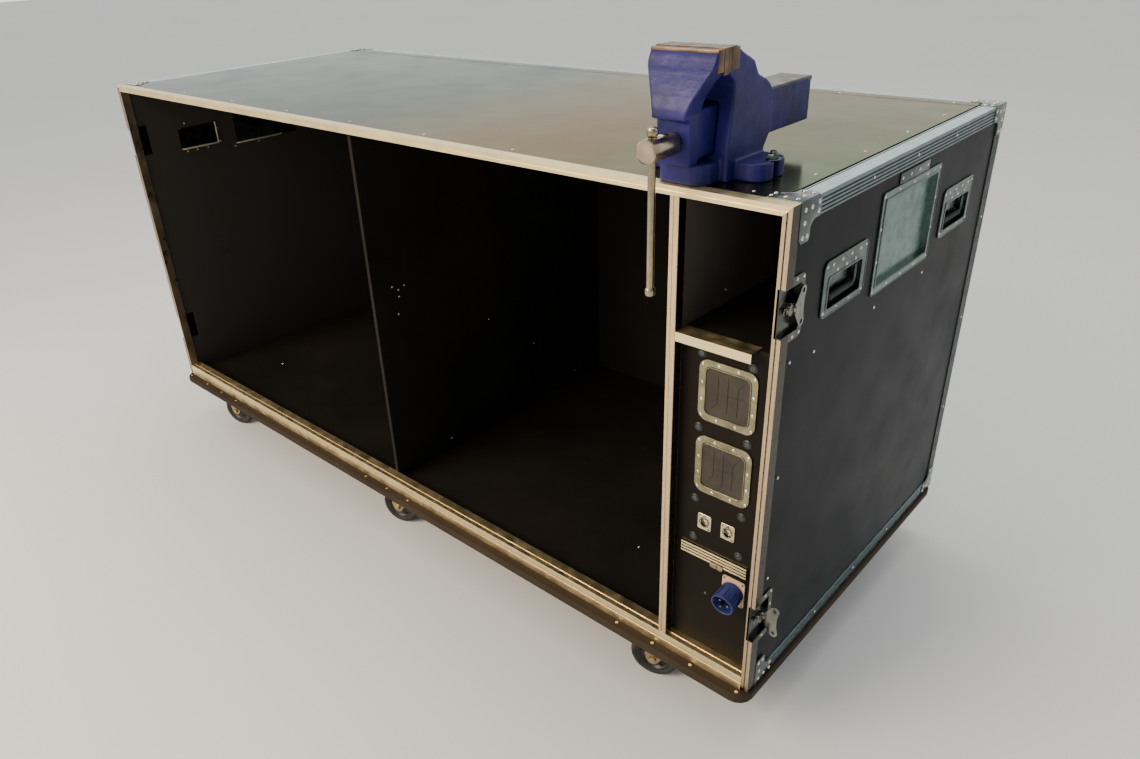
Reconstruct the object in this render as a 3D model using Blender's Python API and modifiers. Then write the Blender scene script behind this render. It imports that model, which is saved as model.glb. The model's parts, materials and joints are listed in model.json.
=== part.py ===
"""Flight-case workbench on six swivel casters, open at the front, with a bench vise on its top.

Metres, +Z up, floor at Z = 0. The open front faces -Y and the service column is at the +X end.
"""

import math

import bmesh
import bpy
from mathutils import Matrix, Vector

# Whole case
CASE_LENGTH = 2.000
CASE_DEPTH = 0.826
CASE_HEIGHT = 0.874
PANEL = 0.0095
SKIN = 0.002
GAP = 0.0003
EDGE_LEG = 0.030
TOP_SEAM = 0.004

# Dolly board and casters
WHEEL_RADIUS = 0.050
WHEEL_WIDTH = 0.032
CASTER_HEIGHT = 0.1257
DOLLY_THICKNESS = 0.018
DOLLY_SIDE_LEDGE = 0.005
DOLLY_FRONT_LEDGE = 0.019
DOLLY_BACK_LEDGE = 0.007
CASTER_X = (-0.800, 0.0, 0.800)
CASTER_Y = 0.345
CASTER_TRAIL = 0.036
CASTER_YAW = math.radians(197)
PLATE_SIZE = (0.100, 0.085, 0.004)
BEARING_RADIUS = 0.024
BEARING_HEIGHT = 0.007
AXLE_RADIUS = 0.0058
AXLE_BORE = 0.0064
FORK_INSIDE = 0.020
FORK_SHEET = 0.0035
PEDAL_PIVOT = (0.040, 0, 0.1045)

# Front closure extrusions
RAIL_FACE = 0.014
RAIL_DEPTH = 0.022
RAIL_WEB = 0.004
SILL_HEIGHT = 0.032
SILL_DEPTH = 0.030
SILL_WALL = 0.003

# Inside of the case
PARTITION_SETBACK = 0.028
DIVIDER_X = 0.817
DIVIDER_THICKNESS = 0.012
DIVIDER_SETBACK = 0.005
COLUMN_SETBACK = 0.023
SHELF_TOP = 0.649
STRIP_BOTTOM = 0.228
PORT_X = 0.910
PORT_HEIGHTS = {"upper": 0.556, "lower": 0.419}
PORT_SIZE = (0.103, 0.108)
PORT_INSERT = (0.080, 0.084)
SOCKET_X = (0.882, 0.927)
SOCKET_HEIGHT = 0.305
SOCKET_HOLE = 0.012
INLET_X = 0.946
INLET_HEIGHT = 0.190
INLET_TILT = math.radians(10)
INLET_PLATE = (0.044, 0.054)
INLET_RADIUS = 0.021
INLET_LENGTH = 0.044
INLET_PIN_CIRCLE = 0.0095
INLET_PIN_LENGTH = 0.030
INLET_PIN_RADIUS = 0.0024

# Side hardware, measured from the case's centre line and bottom
HANDLE_Y = {"front": -0.2235, "rear": 0.2295}
HANDLE_HEIGHT = 0.718
HANDLE_SIZE = (0.145, 0.090)
HANDLE_TRAY = (0.112, 0.052)
HANDLE_TRAY_DEPTH = 0.0135
BAIL_REACH = 0.032
BAIL_WIRE = 0.003
BAIL_GRIP = 0.0052
BAIL_PIN = 0.002
LABEL_SIZE = (0.235, 0.171)
LABEL_HEIGHT = 0.7365
LABEL_RIM = 0.014
LABEL_DEPTH = 0.008
LATCH_HEIGHTS = {"upper": 0.722, "lower": 0.158}
LATCH_SIZE = (0.058, 0.098)
LATCH_RIM = 0.010
LATCH_DEPTH = 0.0072
LATCH_AXIS_SETBACK = 0.027
LATCH_NOTCH = 0.037
HUB_RADIUS = 0.0095
WING_HINGE_OFFSET = 0.004
WING_HEIGHT_ABOVE = 0.0018
WING_HALF_THICKNESS = 0.001
WING_REACH = 0.0185
WING_SPREAD = 0.0235
WING_LOBE = 0.0080
WING_EYE = 0.0036
WING_ROOT = 0.0090
LUG_HALF_WIDTH = 0.0035
LUG_REACH = 0.0015
WING_REST_ANGLE = {"upper": 0, "lower": 90}
SHEET = 0.0012
CUT_PAST = 0.010

# Bench vise, heights measured from the worktop
VISE_X = 0.815
VISE_HALF_WIDTH = 0.0535
SLIDE_HALF_WIDTH = 0.0275
SLIDE_BOTTOM = 0.037
SLIDE_TOP = 0.104
SLIDE_TAIL_Y = -0.078
SLIDE_CLEARANCE = 0.0006
VISE_FOOT_HEIGHT = 0.030
LUG_HEIGHT = 0.026
LUG_Y = -0.302
LUG_SLOT_X = 0.097
SPINDLE_HEIGHT = 0.060
SPINDLE_RADIUS = 0.010
SPINDLE_END_Y = -0.110
HEAD_RADIUS = 0.0165
HEAD_FRONT_Y = -0.482
HEAD_BACK_Y = -0.4185
TOMMY_Y = -0.4655
TOMMY_RADIUS = 0.0062
TOMMY_BORE = 0.0070
TOMMY_BOTTOM = -0.150
TOMMY_TOP = 0.091
TOMMY_CAP_RADIUS = 0.0082
TOMMY_CAP_HEIGHT = 0.014

# Derived places
BODY_BOTTOM = CASTER_HEIGHT + DOLLY_THICKNESS + GAP
BODY_TOP = BODY_BOTTOM + CASE_HEIGHT
HALF_LENGTH = CASE_LENGTH / 2
HALF_DEPTH = CASE_DEPTH / 2
FRONT = -HALF_DEPTH
PANEL_OUT = HALF_LENGTH - SKIN
PANEL_IN = PANEL_OUT - PANEL
WORKTOP_Z = BODY_TOP - SKIN
CEILING_Z = WORKTOP_Z - PANEL
FLOOR_Z = BODY_BOTTOM + SKIN + PANEL
BACK_IN = HALF_DEPTH - SKIN - PANEL
COLUMN_Y = FRONT + COLUMN_SETBACK
DOLLY_FRONT = FRONT - DOLLY_FRONT_LEDGE
DOLLY_BACK = HALF_DEPTH + DOLLY_BACK_LEDGE
VISE_BASE_Z = BODY_TOP + GAP
CASE_Y = -(HEAD_FRONT_Y + DOLLY_BACK) / 2

COLOURS = {
    "black_ply": ((0.012, 0.012, 0.013), 0.45, 0.0),
    "aluminium": ((0.75, 0.74, 0.71), 0.35, 1.0),
    "worktop_metal": ((0.40, 0.45, 0.46), 0.25, 1.0),
    "zinc_steel": ((0.62, 0.63, 0.62), 0.35, 1.0),
    "chrome": ((0.80, 0.80, 0.80), 0.15, 1.0),
    "black_rubber": ((0.02, 0.02, 0.02), 0.80, 0.0),
    "vise_blue": ((0.09, 0.09, 0.36), 0.35, 0.0),
    "inlet_blue": ((0.04, 0.05, 0.22), 0.40, 0.0),
}

parts = bpy.data.collections.new("flight_case_workbench")
cutters = bpy.data.collections.new("cutters")


def clear_scene():
    """Remove what the startup scene holds and link this file's collections."""
    for obj in list(bpy.data.objects):
        bpy.data.objects.remove(obj)
    bpy.context.scene.collection.children.link(parts)
    bpy.context.scene.collection.children.link(cutters)


def material(name):
    """The Principled material of this name, made the first time it is asked for."""
    found = bpy.data.materials.get(name)
    if found:
        return found
    colour, roughness, metallic = COLOURS[name]
    made = bpy.data.materials.new(name)
    made.use_nodes = True
    made.diffuse_color = (*colour, 1)
    shader = made.node_tree.nodes["Principled BSDF"]
    shader.inputs["Base Color"].default_value = (*colour, 1)
    shader.inputs["Roughness"].default_value = roughness
    shader.inputs["Metallic"].default_value = metallic
    return made


def solid(name, mesh, colour):
    """An object of this mesh in the parts collection, standing in the case's own frame."""
    obj = bpy.data.objects.new(name, mesh)
    parts.objects.link(obj)
    if not mesh.materials:
        mesh.materials.append(material(colour))
    obj.parent = case_frame
    return obj


def box(name, low, high, colour="black_ply"):
    """A box from its lowest corner to its highest."""
    low, high = Vector(low), Vector(high)
    size = high - low
    bm = bmesh.new()
    bmesh.ops.create_cube(bm, size=1)
    bmesh.ops.scale(bm, vec=size, verts=bm.verts)
    bmesh.ops.translate(bm, vec=(low + high) / 2, verts=bm.verts)
    mesh = bpy.data.meshes.new(name)
    bm.to_mesh(mesh)
    bm.free()
    return solid(name, mesh, colour)


def rod(name, start, end, radius, colour="zinc_steel", segments=24):
    """A cylinder between two points."""
    start, end = Vector(start), Vector(end)
    along = end - start
    turn = along.to_track_quat("Z", "Y").to_matrix().to_4x4()
    bm = bmesh.new()
    bmesh.ops.create_cone(
        bm,
        cap_ends=True,
        segments=segments,
        radius1=radius,
        radius2=radius,
        depth=along.length,
        matrix=Matrix.Translation((start + end) / 2) @ turn,
    )
    mesh = bpy.data.meshes.new(name)
    bm.to_mesh(mesh)
    bm.free()
    smooth(mesh)
    return solid(name, mesh, colour)


def smooth(mesh):
    mesh.shade_smooth()
    mesh.set_sharp_from_angle(angle=math.radians(35))


def evaluated_mesh(obj):
    """The object's mesh with its modifiers applied, as new mesh data."""
    bpy.context.view_layer.update()
    graph = bpy.context.evaluated_depsgraph_get()
    return bpy.data.meshes.new_from_object(obj.evaluated_get(graph))


def welded(mesh):
    bm = bmesh.new()
    bm.from_mesh(mesh)
    bmesh.ops.remove_doubles(bm, verts=bm.verts, dist=1e-5)
    bmesh.ops.recalc_face_normals(bm, faces=bm.faces)
    bm.to_mesh(mesh)
    bm.free()


# Where an outline's own x, y and thickness go when it is extruded along each axis.
EXTRUDE_TURN = {
    "X": Matrix(((0, 0, 1, 0), (1, 0, 0, 0), (0, 1, 0, 0), (0, 0, 0, 1))),
    "Y": Matrix(((1, 0, 0, 0), (0, 0, 1, 0), (0, 1, 0, 0), (0, 0, 0, 1))),
    "Z": Matrix.Identity(4),
}


def plate(name, points, low, high, axis="X", colour="black_ply"):
    """A flat outline extruded along an axis, its points given in the other two coordinates."""
    curve = bpy.data.curves.new(name, "CURVE")
    curve.dimensions = "2D"
    curve.fill_mode = "BOTH"
    curve.extrude = (high - low) / 2
    spline = curve.splines.new("POLY")
    spline.points.add(len(points) - 1)
    for point, (u, v) in zip(spline.points, points):
        point.co = (u, v, 0, 1)
    spline.use_cyclic_u = True
    drawn = bpy.data.objects.new(name, curve)
    parts.objects.link(drawn)
    mesh = evaluated_mesh(drawn)
    bpy.data.objects.remove(drawn)
    mesh.name = name
    mesh.transform(Matrix.Translation((0, 0, (low + high) / 2)))
    mesh.transform(EXTRUDE_TURN[axis])
    welded(mesh)
    return solid(name, mesh, colour)


def rounded(centre, size, radius, steps=5):
    """Points of a rectangle with round corners, in the outline's own plane."""
    points = []
    for quarter, (sx, sy) in enumerate(((1, 1), (-1, 1), (-1, -1), (1, -1))):
        corner_x = centre[0] + sx * (size[0] / 2 - radius)
        corner_y = centre[1] + sy * (size[1] / 2 - radius)
        for step in range(steps + 1):
            angle = math.radians(90 * (quarter + step / steps))
            points.append((corner_x + radius * math.cos(angle), corner_y + radius * math.sin(angle)))
    return points


def turned(name, profile, colour, steps=32):
    """A profile of (radius, height) pairs turned about the Z axis, outer side top to bottom."""
    mesh = bpy.data.meshes.new(name)
    points = [(radius, 0, height) for radius, height in profile]
    edges = [(i, (i + 1) % len(points)) for i in range(len(points))]
    mesh.from_pydata(points, edges, [])
    obj = solid(name, mesh, colour)
    screw = obj.modifiers.new("turn", "SCREW")
    screw.steps = steps
    screw.render_steps = steps
    screw.use_merge_vertices = True
    screw.merge_threshold = 0.00001
    made = evaluated_mesh(obj)
    bpy.data.objects.remove(obj)
    made.name = name
    welded(made)
    smooth(made)
    return solid(name, made, colour)


def combine(target, helpers, operation):
    """Cut or join helpers into target with Boolean modifiers; a helper stays as a hidden wire."""
    for helper in helpers:
        parts.objects.unlink(helper)
        cutters.objects.link(helper)
        helper.hide_render = True
        helper.display_type = "WIRE"
        step = target.modifiers.new(operation.lower(), "BOOLEAN")
        step.object = helper
        step.operation = operation
        step.solver = "EXACT"
    return target


def cut(target, *helpers):
    return combine(target, helpers, "DIFFERENCE")


def fuse(target, *helpers):
    return combine(target, helpers, "UNION")


def settled(obj, *helpers):
    """The object with its Booleans applied and their helpers removed."""
    mesh = evaluated_mesh(obj)
    mesh.name = obj.name
    smooth(mesh)
    obj.modifiers.clear()
    obj.data = mesh
    for helper in helpers:
        bpy.data.objects.remove(helper)
    return obj


def pivot_at(obj, point, parent=None):
    """Move the object's origin to a point of the case's frame, leaving its shape where it is."""
    obj.data.transform(Matrix.Translation(-Vector(point)))
    base = Vector()
    if parent:
        obj.parent = parent
        base = parent.location
    obj.location = Vector(point) - base


def recessed_rim(side, depth):
    """X limits of a sheet rim lying on a side panel, and of a tray that deep behind it."""
    rim = (PANEL_OUT + GAP, PANEL_OUT + GAP + SHEET)
    back = PANEL_OUT + GAP - depth
    return sorted((side * rim[0], side * rim[1])), sorted((side * back, side * rim[1]))


# ---------------------------------------------------------------- carcass


def build_dolly():
    """The board under the case, with the six caster plates and their upper bearing rings."""
    size = (CASE_LENGTH + 2 * DOLLY_SIDE_LEDGE, DOLLY_BACK - DOLLY_FRONT)
    centre = (0, (DOLLY_BACK + DOLLY_FRONT) / 2)
    outline = rounded(centre, size, 0.030, 4)
    board = plate("dolly_board", outline, CASTER_HEIGHT, CASTER_HEIGHT + DOLLY_THICKNESS, "Z")
    round_edge = board.modifiers.new("round_edge", "BEVEL")
    round_edge.width = 0.004
    round_edge.segments = 1
    round_edge.limit_method = "ANGLE"
    round_edge.angle_limit = math.radians(60)
    for x in CASTER_X:
        for y in (-CASTER_Y, CASTER_Y):
            half = Vector(PLATE_SIZE) / 2
            top = CASTER_HEIGHT + 0.001
            low = (x - half.x, y - half.y, CASTER_HEIGHT - PLATE_SIZE[2])
            high = (x + half.x, y + half.y, top)
            mount = box("caster_plate", low, high, "zinc_steel")
            ring_start = (x, y, CASTER_HEIGHT - PLATE_SIZE[2] - BEARING_HEIGHT)
            ring = rod("bearing_ring", ring_start, (x, y, top - 0.002), BEARING_RADIUS, segments=14)
            fuse(board, mount, ring)


def side_cutters(side):
    """Helpers that open a side panel for its handles, label dish and latches."""
    through = sorted((side * (PANEL_IN - 0.003), side * (PANEL_OUT + 0.003)))
    made = []
    for y in HANDLE_Y.values():
        low, high = handle_tray_corners(y, 0.0006)
        made.append(box("handle_hole", (through[0], *low), (through[1], *high)))
    half_w = LABEL_SIZE[0] / 2 - LABEL_RIM + 0.0006
    half_h = LABEL_SIZE[1] / 2 - LABEL_RIM + 0.0006
    z = BODY_BOTTOM + LABEL_HEIGHT
    made.append(box("label_hole", (through[0], -half_w, z - half_h), (through[1], half_w, z + half_h)))
    for height in LATCH_HEIGHTS.values():
        z = BODY_BOTTOM + height
        half = LATCH_SIZE[1] / 2 - LATCH_RIM + 0.0006
        back = FRONT + LATCH_SIZE[0] - LATCH_RIM + 0.0006
        made.append(box("latch_hole", (through[0], FRONT - 0.01, z - half), (through[1], back, z + half)))
    return made


def build_panels():
    """Worktop, floor, back and two sides of black laminated plywood."""
    edge = FRONT + RAIL_WEB + GAP
    back = HALF_DEPTH - SKIN - GAP
    inner_x = PANEL_IN - GAP
    board_top = WORKTOP_Z - GAP
    worktop = box("worktop", (-PANEL_OUT + GAP, edge, CEILING_Z), (PANEL_OUT - GAP, back, board_top),
                  "worktop_metal")
    sheet_x = HALF_LENGTH - EDGE_LEG - TOP_SEAM
    sheet_back = HALF_DEPTH - EDGE_LEG - TOP_SEAM / 4
    sheet_low = (-sheet_x, FRONT + RAIL_DEPTH + 2 * GAP, board_top - 0.001)
    fuse(worktop, box("worktop_sheet", sheet_low, (sheet_x, sheet_back, BODY_TOP)))
    box("floor_panel", (-PANEL_OUT + GAP, edge, BODY_BOTTOM + SKIN + GAP), (PANEL_OUT - GAP, back, FLOOR_Z))
    low_z, high_z = FLOOR_Z + GAP, CEILING_Z - GAP
    box("back_panel", (-inner_x, BACK_IN, low_z), (inner_x, back, high_z))
    for side, name in ((-1, "left_panel"), (1, "right_panel")):
        x = sorted((side * PANEL_IN, side * (PANEL_OUT - GAP)))
        panel = box(name, (x[0], edge, low_z), (x[1], back, high_z))
        cut(panel, *side_cutters(side))


def rail_outline():
    """Section of a closure extrusion: a channel with a groove along its face.

    The first coordinate runs inwards from the case's outer edge, the second back from its front.
    """
    groove = (0.0055, 0.0085, 0.0022)
    return [
        (0, 0),
        (groove[0], 0),
        (groove[0], groove[2]),
        (groove[1], groove[2]),
        (groove[1], 0),
        (RAIL_FACE, 0),
        (RAIL_FACE, RAIL_DEPTH),
        (RAIL_FACE - SKIN + 0.0002, RAIL_DEPTH),
        (RAIL_FACE - SKIN + 0.0002, RAIL_WEB),
        (SKIN - GAP, RAIL_WEB),
        (SKIN - GAP, RAIL_DEPTH),
        (0, RAIL_DEPTH),
    ]


def mitred_rail(name, length, outward, along):
    """A closure extrusion whose ends are cut at 45 degrees, on the case's outer edge `outward`."""
    rail = plate(name, rail_outline(), -length / 2, length / 2, "Z", "aluminium")
    for vertex in rail.data.vertices:
        inset, depth, run = vertex.co
        run = math.copysign(length / 2 - inset - GAP / 2, run)
        vertex.co = -inset * Vector(outward) + depth * Vector((0, 1, 0)) + run * Vector(along)
    welded(rail.data)
    return rail


def build_front_frame():
    """Top rail, two notched stiles and the deeper sill around the open front."""
    middle_z = (BODY_BOTTOM + BODY_TOP) / 2
    top = mitred_rail("front_top_rail", CASE_LENGTH, (0, 0, 1), (1, 0, 0))
    pivot_at(top, (0, 0, 0))
    top.location = (0, FRONT, BODY_TOP)
    for side, name in ((-1, "left_stile"), (1, "right_stile")):
        stile = mitred_rail(name, CASE_HEIGHT, (side, 0, 0), (0, 0, 1))
        stile.location = (side * HALF_LENGTH, FRONT, middle_z)
        reach = sorted((side * (HALF_LENGTH - RAIL_FACE + SKIN + GAP), side * (HALF_LENGTH + 0.01)))
        for height in LATCH_HEIGHTS.values():
            z = BODY_BOTTOM + height
            low = (reach[0], FRONT - 0.01, z - LATCH_NOTCH)
            high = (reach[1], FRONT + 0.03, z + LATCH_NOTCH)
            cut(stile, box("stile_notch", low, high))
        foot = sorted((side * (HALF_LENGTH - EDGE_LEG), side * (HALF_LENGTH + CUT_PAST)))
        foot_low = (foot[0], FRONT - CUT_PAST, BODY_BOTTOM - CUT_PAST)
        foot_high = (foot[1], FRONT + SILL_DEPTH, BODY_BOTTOM + SKIN + GAP)
        cut(stile, box("stile_foot", foot_low, foot_high))
    build_sill()


def build_sill():
    """The front bottom extrusion: a face, a flat top and a leg down to the floor panel."""
    floor_top = FLOOR_Z - BODY_BOTTOM + GAP
    outline = [
        (FRONT, 0),
        (FRONT + SILL_WALL, 0),
        (FRONT + SILL_WALL, SILL_HEIGHT - SILL_WALL),
        (FRONT + SILL_DEPTH - SILL_WALL, SILL_HEIGHT - SILL_WALL),
        (FRONT + SILL_DEPTH - SILL_WALL, floor_top),
        (FRONT + SILL_DEPTH, floor_top),
        (FRONT + SILL_DEPTH, SILL_HEIGHT),
        (FRONT + 0.012, SILL_HEIGHT),
        (FRONT + 0.012, SILL_HEIGHT - 0.0015),
        (FRONT + 0.009, SILL_HEIGHT - 0.0015),
        (FRONT + 0.009, SILL_HEIGHT),
        (FRONT, SILL_HEIGHT),
        (FRONT, SILL_HEIGHT * 0.52),
        (FRONT + 0.0012, SILL_HEIGHT * 0.52),
        (FRONT + 0.0012, SILL_HEIGHT * 0.46),
        (FRONT, SILL_HEIGHT * 0.46),
    ]
    end = HALF_LENGTH - RAIL_FACE - GAP
    points = [(y, z + BODY_BOTTOM) for y, z in outline]
    plate("front_sill", points, -end, end, "X", "aluminium")


def build_edge_extrusions():
    """The angle extrusions along the case's other edges, joined at their corners."""
    front = FRONT + RAIL_DEPTH + GAP
    low = Vector((-HALF_LENGTH, front, BODY_BOTTOM))
    high = Vector((HALF_LENGTH, HALF_DEPTH, BODY_TOP))
    wall = Vector((SKIN, SKIN, SKIN))
    leg = EDGE_LEG
    shell = box("edge_extrusions", low, high, "aluminium")
    inner_low = (low.x + wall.x, front - 0.01, low.z + wall.z)
    hollow = box("edge_hollow", inner_low, high - wall)
    sides_low = (low.x - 0.01, front - 0.01, low.z + leg)
    sides = box("side_window", sides_low, (high.x + 0.01, high.y - leg, high.z - leg))
    top_low = (low.x + leg, front - 0.01, low.z - 0.01)
    top = box("top_window", top_low, (high.x - leg, high.y - leg, high.z + 0.01))
    back_low = (low.x + leg, high.y - 0.02, low.z + leg)
    back = box("back_window", back_low, (high.x - leg, high.y + 0.01, high.z - leg))
    cut(shell, hollow, sides, top, back)


# ---------------------------------------------------------------- inside


def build_inside():
    """The partition between the bays, the column's divider, its shelf and its two front panels."""
    low_z, high_z = FLOOR_Z + GAP, CEILING_Z - GAP
    rear = BACK_IN - GAP
    half = PANEL / 2
    box("bay_partition", (-half, FRONT + SILL_DEPTH + GAP, low_z), (half, rear, high_z))
    left = DIVIDER_X - DIVIDER_THICKNESS / 2
    right = DIVIDER_X + DIVIDER_THICKNESS / 2
    foot = BODY_BOTTOM + SILL_HEIGHT + GAP
    divider = box("column_divider", (left, FRONT + DIVIDER_SETBACK, low_z), (right, rear, high_z))
    sill_clear = box("sill_clearance", (left - 0.01, FRONT - 0.01, low_z - 0.01),
                     (right + 0.01, FRONT + SILL_DEPTH + GAP, foot))
    rail_clear = box("rail_clearance", (left - 0.01, FRONT - 0.01, BODY_TOP - RAIL_FACE - GAP),
                     (right + 0.01, FRONT + RAIL_DEPTH + GAP, BODY_TOP))
    cut(divider, sill_clear, rail_clear)
    column = (right + GAP, PANEL_IN - GAP)
    shelf_z = BODY_BOTTOM + SHELF_TOP
    shelf_front = FRONT + RAIL_DEPTH + 2 * GAP
    box("column_shelf", (column[0], shelf_front, shelf_z - PANEL), (column[1], rear, shelf_z))
    strip_z = BODY_BOTTOM + STRIP_BOTTOM
    panel_back = COLUMN_Y + PANEL
    rack = box("rack_panel", (column[0], COLUMN_Y, strip_z), (column[1], panel_back, shelf_z - PANEL - GAP))
    cut(rack, *rack_cutters())
    lower_low = (column[0], COLUMN_Y, BODY_BOTTOM + SILL_HEIGHT + GAP)
    lower = box("lower_panel", lower_low, (column[1], panel_back, strip_z - GAP))
    inlet_hole = rod("inlet_hole", (INLET_X, COLUMN_Y - 0.01, BODY_BOTTOM + INLET_HEIGHT),
                     (INLET_X, panel_back + 0.01, BODY_BOTTOM + INLET_HEIGHT), INLET_RADIUS - 0.005)
    heel = box("sill_heel", (column[0] - 0.01, COLUMN_Y - 0.01, BODY_BOTTOM),
               (column[1] + 0.01, FRONT + SILL_DEPTH + GAP, BODY_BOTTOM + SILL_HEIGHT + GAP))
    cut(lower, inlet_hole, heel)


def rack_cutters():
    """Openings of the rack panel for two cable ports and two round data sockets."""
    made = []
    for height in PORT_HEIGHTS.values():
        outline = rounded((PORT_X, BODY_BOTTOM + height), [side + 0.0012 for side in PORT_INSERT], 0.012)
        made.append(plate("port_hole", outline, COLUMN_Y - 0.01, COLUMN_Y + 0.03, "Y"))
    for x in SOCKET_X:
        z = BODY_BOTTOM + SOCKET_HEIGHT
        made.append(rod("socket_hole", (x, COLUMN_Y - 0.01, z), (x, COLUMN_Y + 0.03, z), SOCKET_HOLE))
    return made


def build_cable_ports():
    """Two ports in the rack panel: a flanged frame that holds a soft, slit insert."""
    for name, height in PORT_HEIGHTS.items():
        centre = (PORT_X, BODY_BOTTOM + height)
        face = COLUMN_Y - GAP
        flange = rounded(centre, PORT_SIZE, 0.016)
        port = plate("cable_port_" + name, flange, face - 0.0015, face, "Y", "zinc_steel")
        body = plate("port_body", rounded(centre, PORT_INSERT, 0.012), face - 0.001, face + 0.014, "Y")
        fuse(port, body)
        slits = []
        for offset in (-0.019, 0.0, 0.019):
            low = (PORT_X + offset - 0.0006, face - 0.01, centre[1] - 0.026)
            high = (PORT_X + offset + 0.0006, face + 0.0012, centre[1] + 0.026)
            slits.append(box("port_slit", low, high))
        cut(port, *slits)


def build_power_inlet():
    """The inlet: a flange, a round shroud tilted down and three pins inside it."""
    centre = Vector((INLET_X, COLUMN_Y - GAP, BODY_BOTTOM + INLET_HEIGHT))
    axis = Vector((0, -math.cos(INLET_TILT), -math.sin(INLET_TILT)))
    up = Vector((0, -math.sin(INLET_TILT), math.cos(INLET_TILT)))
    outline = rounded((centre.x, centre.z), INLET_PLATE, 0.005)
    inlet = plate("power_inlet", outline, centre.y - 0.003, centre.y, "Y", "inlet_blue")
    shroud = rod("inlet_shroud", centre - axis * 0.01, centre + axis * INLET_LENGTH, INLET_RADIUS,
                 "inlet_blue", 20)
    reach = Vector((0.05, 0.05, 0.05))
    behind = box("inlet_behind", centre - Vector((reach.x, 0.00001, reach.z)), centre + reach)
    rear = centre + Vector((0, 0.014, 0))
    plug = rod("inlet_plug", centre + Vector((0, -0.001, 0)), rear, INLET_RADIUS - 0.0056)
    bore = rod("inlet_bore", centre + axis * 0.008, centre + axis * (INLET_LENGTH + 0.01),
               INLET_RADIUS - 0.0025, "inlet_blue", 20)
    fuse(inlet, shroud)
    cut(inlet, behind)
    fuse(inlet, plug)
    cut(inlet, bore)
    for angle in (90, 210, 330):
        turn = math.radians(angle)
        offset = INLET_PIN_CIRCLE * (Vector((math.cos(turn), 0, 0)) + up * math.sin(turn))
        start = centre + axis * 0.006 + offset
        fuse(inlet, rod("inlet_pin", start, start + axis * INLET_PIN_LENGTH, INLET_PIN_RADIUS, segments=8))


# ---------------------------------------------------------------- side hardware


def handle_tray_corners(y, clearance):
    """(Y, Z) limits of a handle's tray, which sits low in its plate."""
    half = HANDLE_TRAY[0] / 2 + clearance
    top = BODY_BOTTOM + HANDLE_HEIGHT + 0.0175 + clearance
    bottom = top - HANDLE_TRAY[1] - 2 * clearance
    return (y - half, bottom), (y + half, top)


def bent_wire(name, path, radius):
    """Mesh of a round wire with flat ends that follows a path of points."""
    wire = bpy.data.curves.new(name, "CURVE")
    wire.dimensions = "3D"
    wire.bevel_depth = radius
    wire.bevel_resolution = 1
    wire.use_fill_caps = True
    spline = wire.splines.new("POLY")
    spline.points.add(len(path) - 1)
    for point, place in zip(spline.points, path):
        point.co = (*place, 1)
    drawn = bpy.data.objects.new(name, wire)
    parts.objects.link(drawn)
    mesh = evaluated_mesh(drawn)
    bpy.data.objects.remove(drawn)
    mesh.name = name
    welded(mesh)
    return mesh


def build_handle(side, end, y):
    """A sprung handle: a riveted plate with a tray, and a bail that hangs in it."""
    name = f"{'left' if side < 0 else 'right'}_{end}_handle"
    rim, tray = recessed_rim(side, HANDLE_TRAY_DEPTH)
    centre_z = BODY_BOTTOM + HANDLE_HEIGHT
    dish = plate(name + "_dish", rounded((y, centre_z), HANDLE_SIZE, 0.012), *rim, "X", "zinc_steel")
    low, high = handle_tray_corners(y, 0.0)
    fuse(dish, box("tray_outside", (tray[0], *low), (tray[1], *high)))
    open_x = sorted((side * (PANEL_OUT + GAP - HANDLE_TRAY_DEPTH + SHEET), side * (HALF_LENGTH + 0.01)))
    inner_low = (open_x[0], low[0] + SHEET, low[1] + SHEET)
    cut(dish, box("tray_inside", inner_low, (open_x[1], high[0] - SHEET, high[1] - SHEET)))
    pivot = Vector((side * (PANEL_OUT - 0.0058), y, high[1] - 0.0065))
    half = HANDLE_TRAY[0] / 2 - 0.0050
    path = [(-half, 0), (-half, -BAIL_REACH + 0.006), (-half + 0.006, -BAIL_REACH)]
    path += [(-u, v) for u, v in reversed(path)]
    mesh = bent_wire(name + "_bail", [pivot + Vector((0, u, v)) for u, v in path], BAIL_WIRE)
    bail = solid(name + "_bail", mesh, "black_rubber")
    grip_y = half - 0.014
    ends = [pivot + Vector((0, sign * grip_y, -BAIL_REACH)) for sign in (-1, 1)]
    added = [rod("bail_grip", *ends, BAIL_GRIP, "black_rubber", 16)]
    for sign in (-1, 1):
        inner = pivot + Vector((0, sign * (half - 0.002), 0))
        outer = pivot + Vector((0, sign * (half + 0.003), 0))
        added.append(rod("bail_pin", inner, outer, BAIL_PIN, segments=10))
    fuse(bail, *added)
    settled(bail, *added)
    pivot_at(bail, pivot)


def build_label_dish(side):
    """A shallow tray for a job card, riveted into the panel."""
    name = "left_label_dish" if side < 0 else "right_label_dish"
    rim, tray = recessed_rim(side, LABEL_DEPTH)
    z = BODY_BOTTOM + LABEL_HEIGHT
    dish = plate(name, rounded((0, z), LABEL_SIZE, 0.006), *rim, "X", "zinc_steel")
    half_w = LABEL_SIZE[0] / 2 - LABEL_RIM
    half_h = LABEL_SIZE[1] / 2 - LABEL_RIM
    fuse(dish, box("label_outside", (tray[0], -half_w, z - half_h), (tray[1], half_w, z + half_h)))
    open_x = sorted((side * (PANEL_OUT + GAP - LABEL_DEPTH + SHEET), side * (HALF_LENGTH + 0.01)))
    inner = (half_w - SHEET, half_h - SHEET)
    cut(dish, box("label_inside", (open_x[0], -inner[0], z - inner[1]), (open_x[1], inner[0], z + inner[1])))


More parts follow.
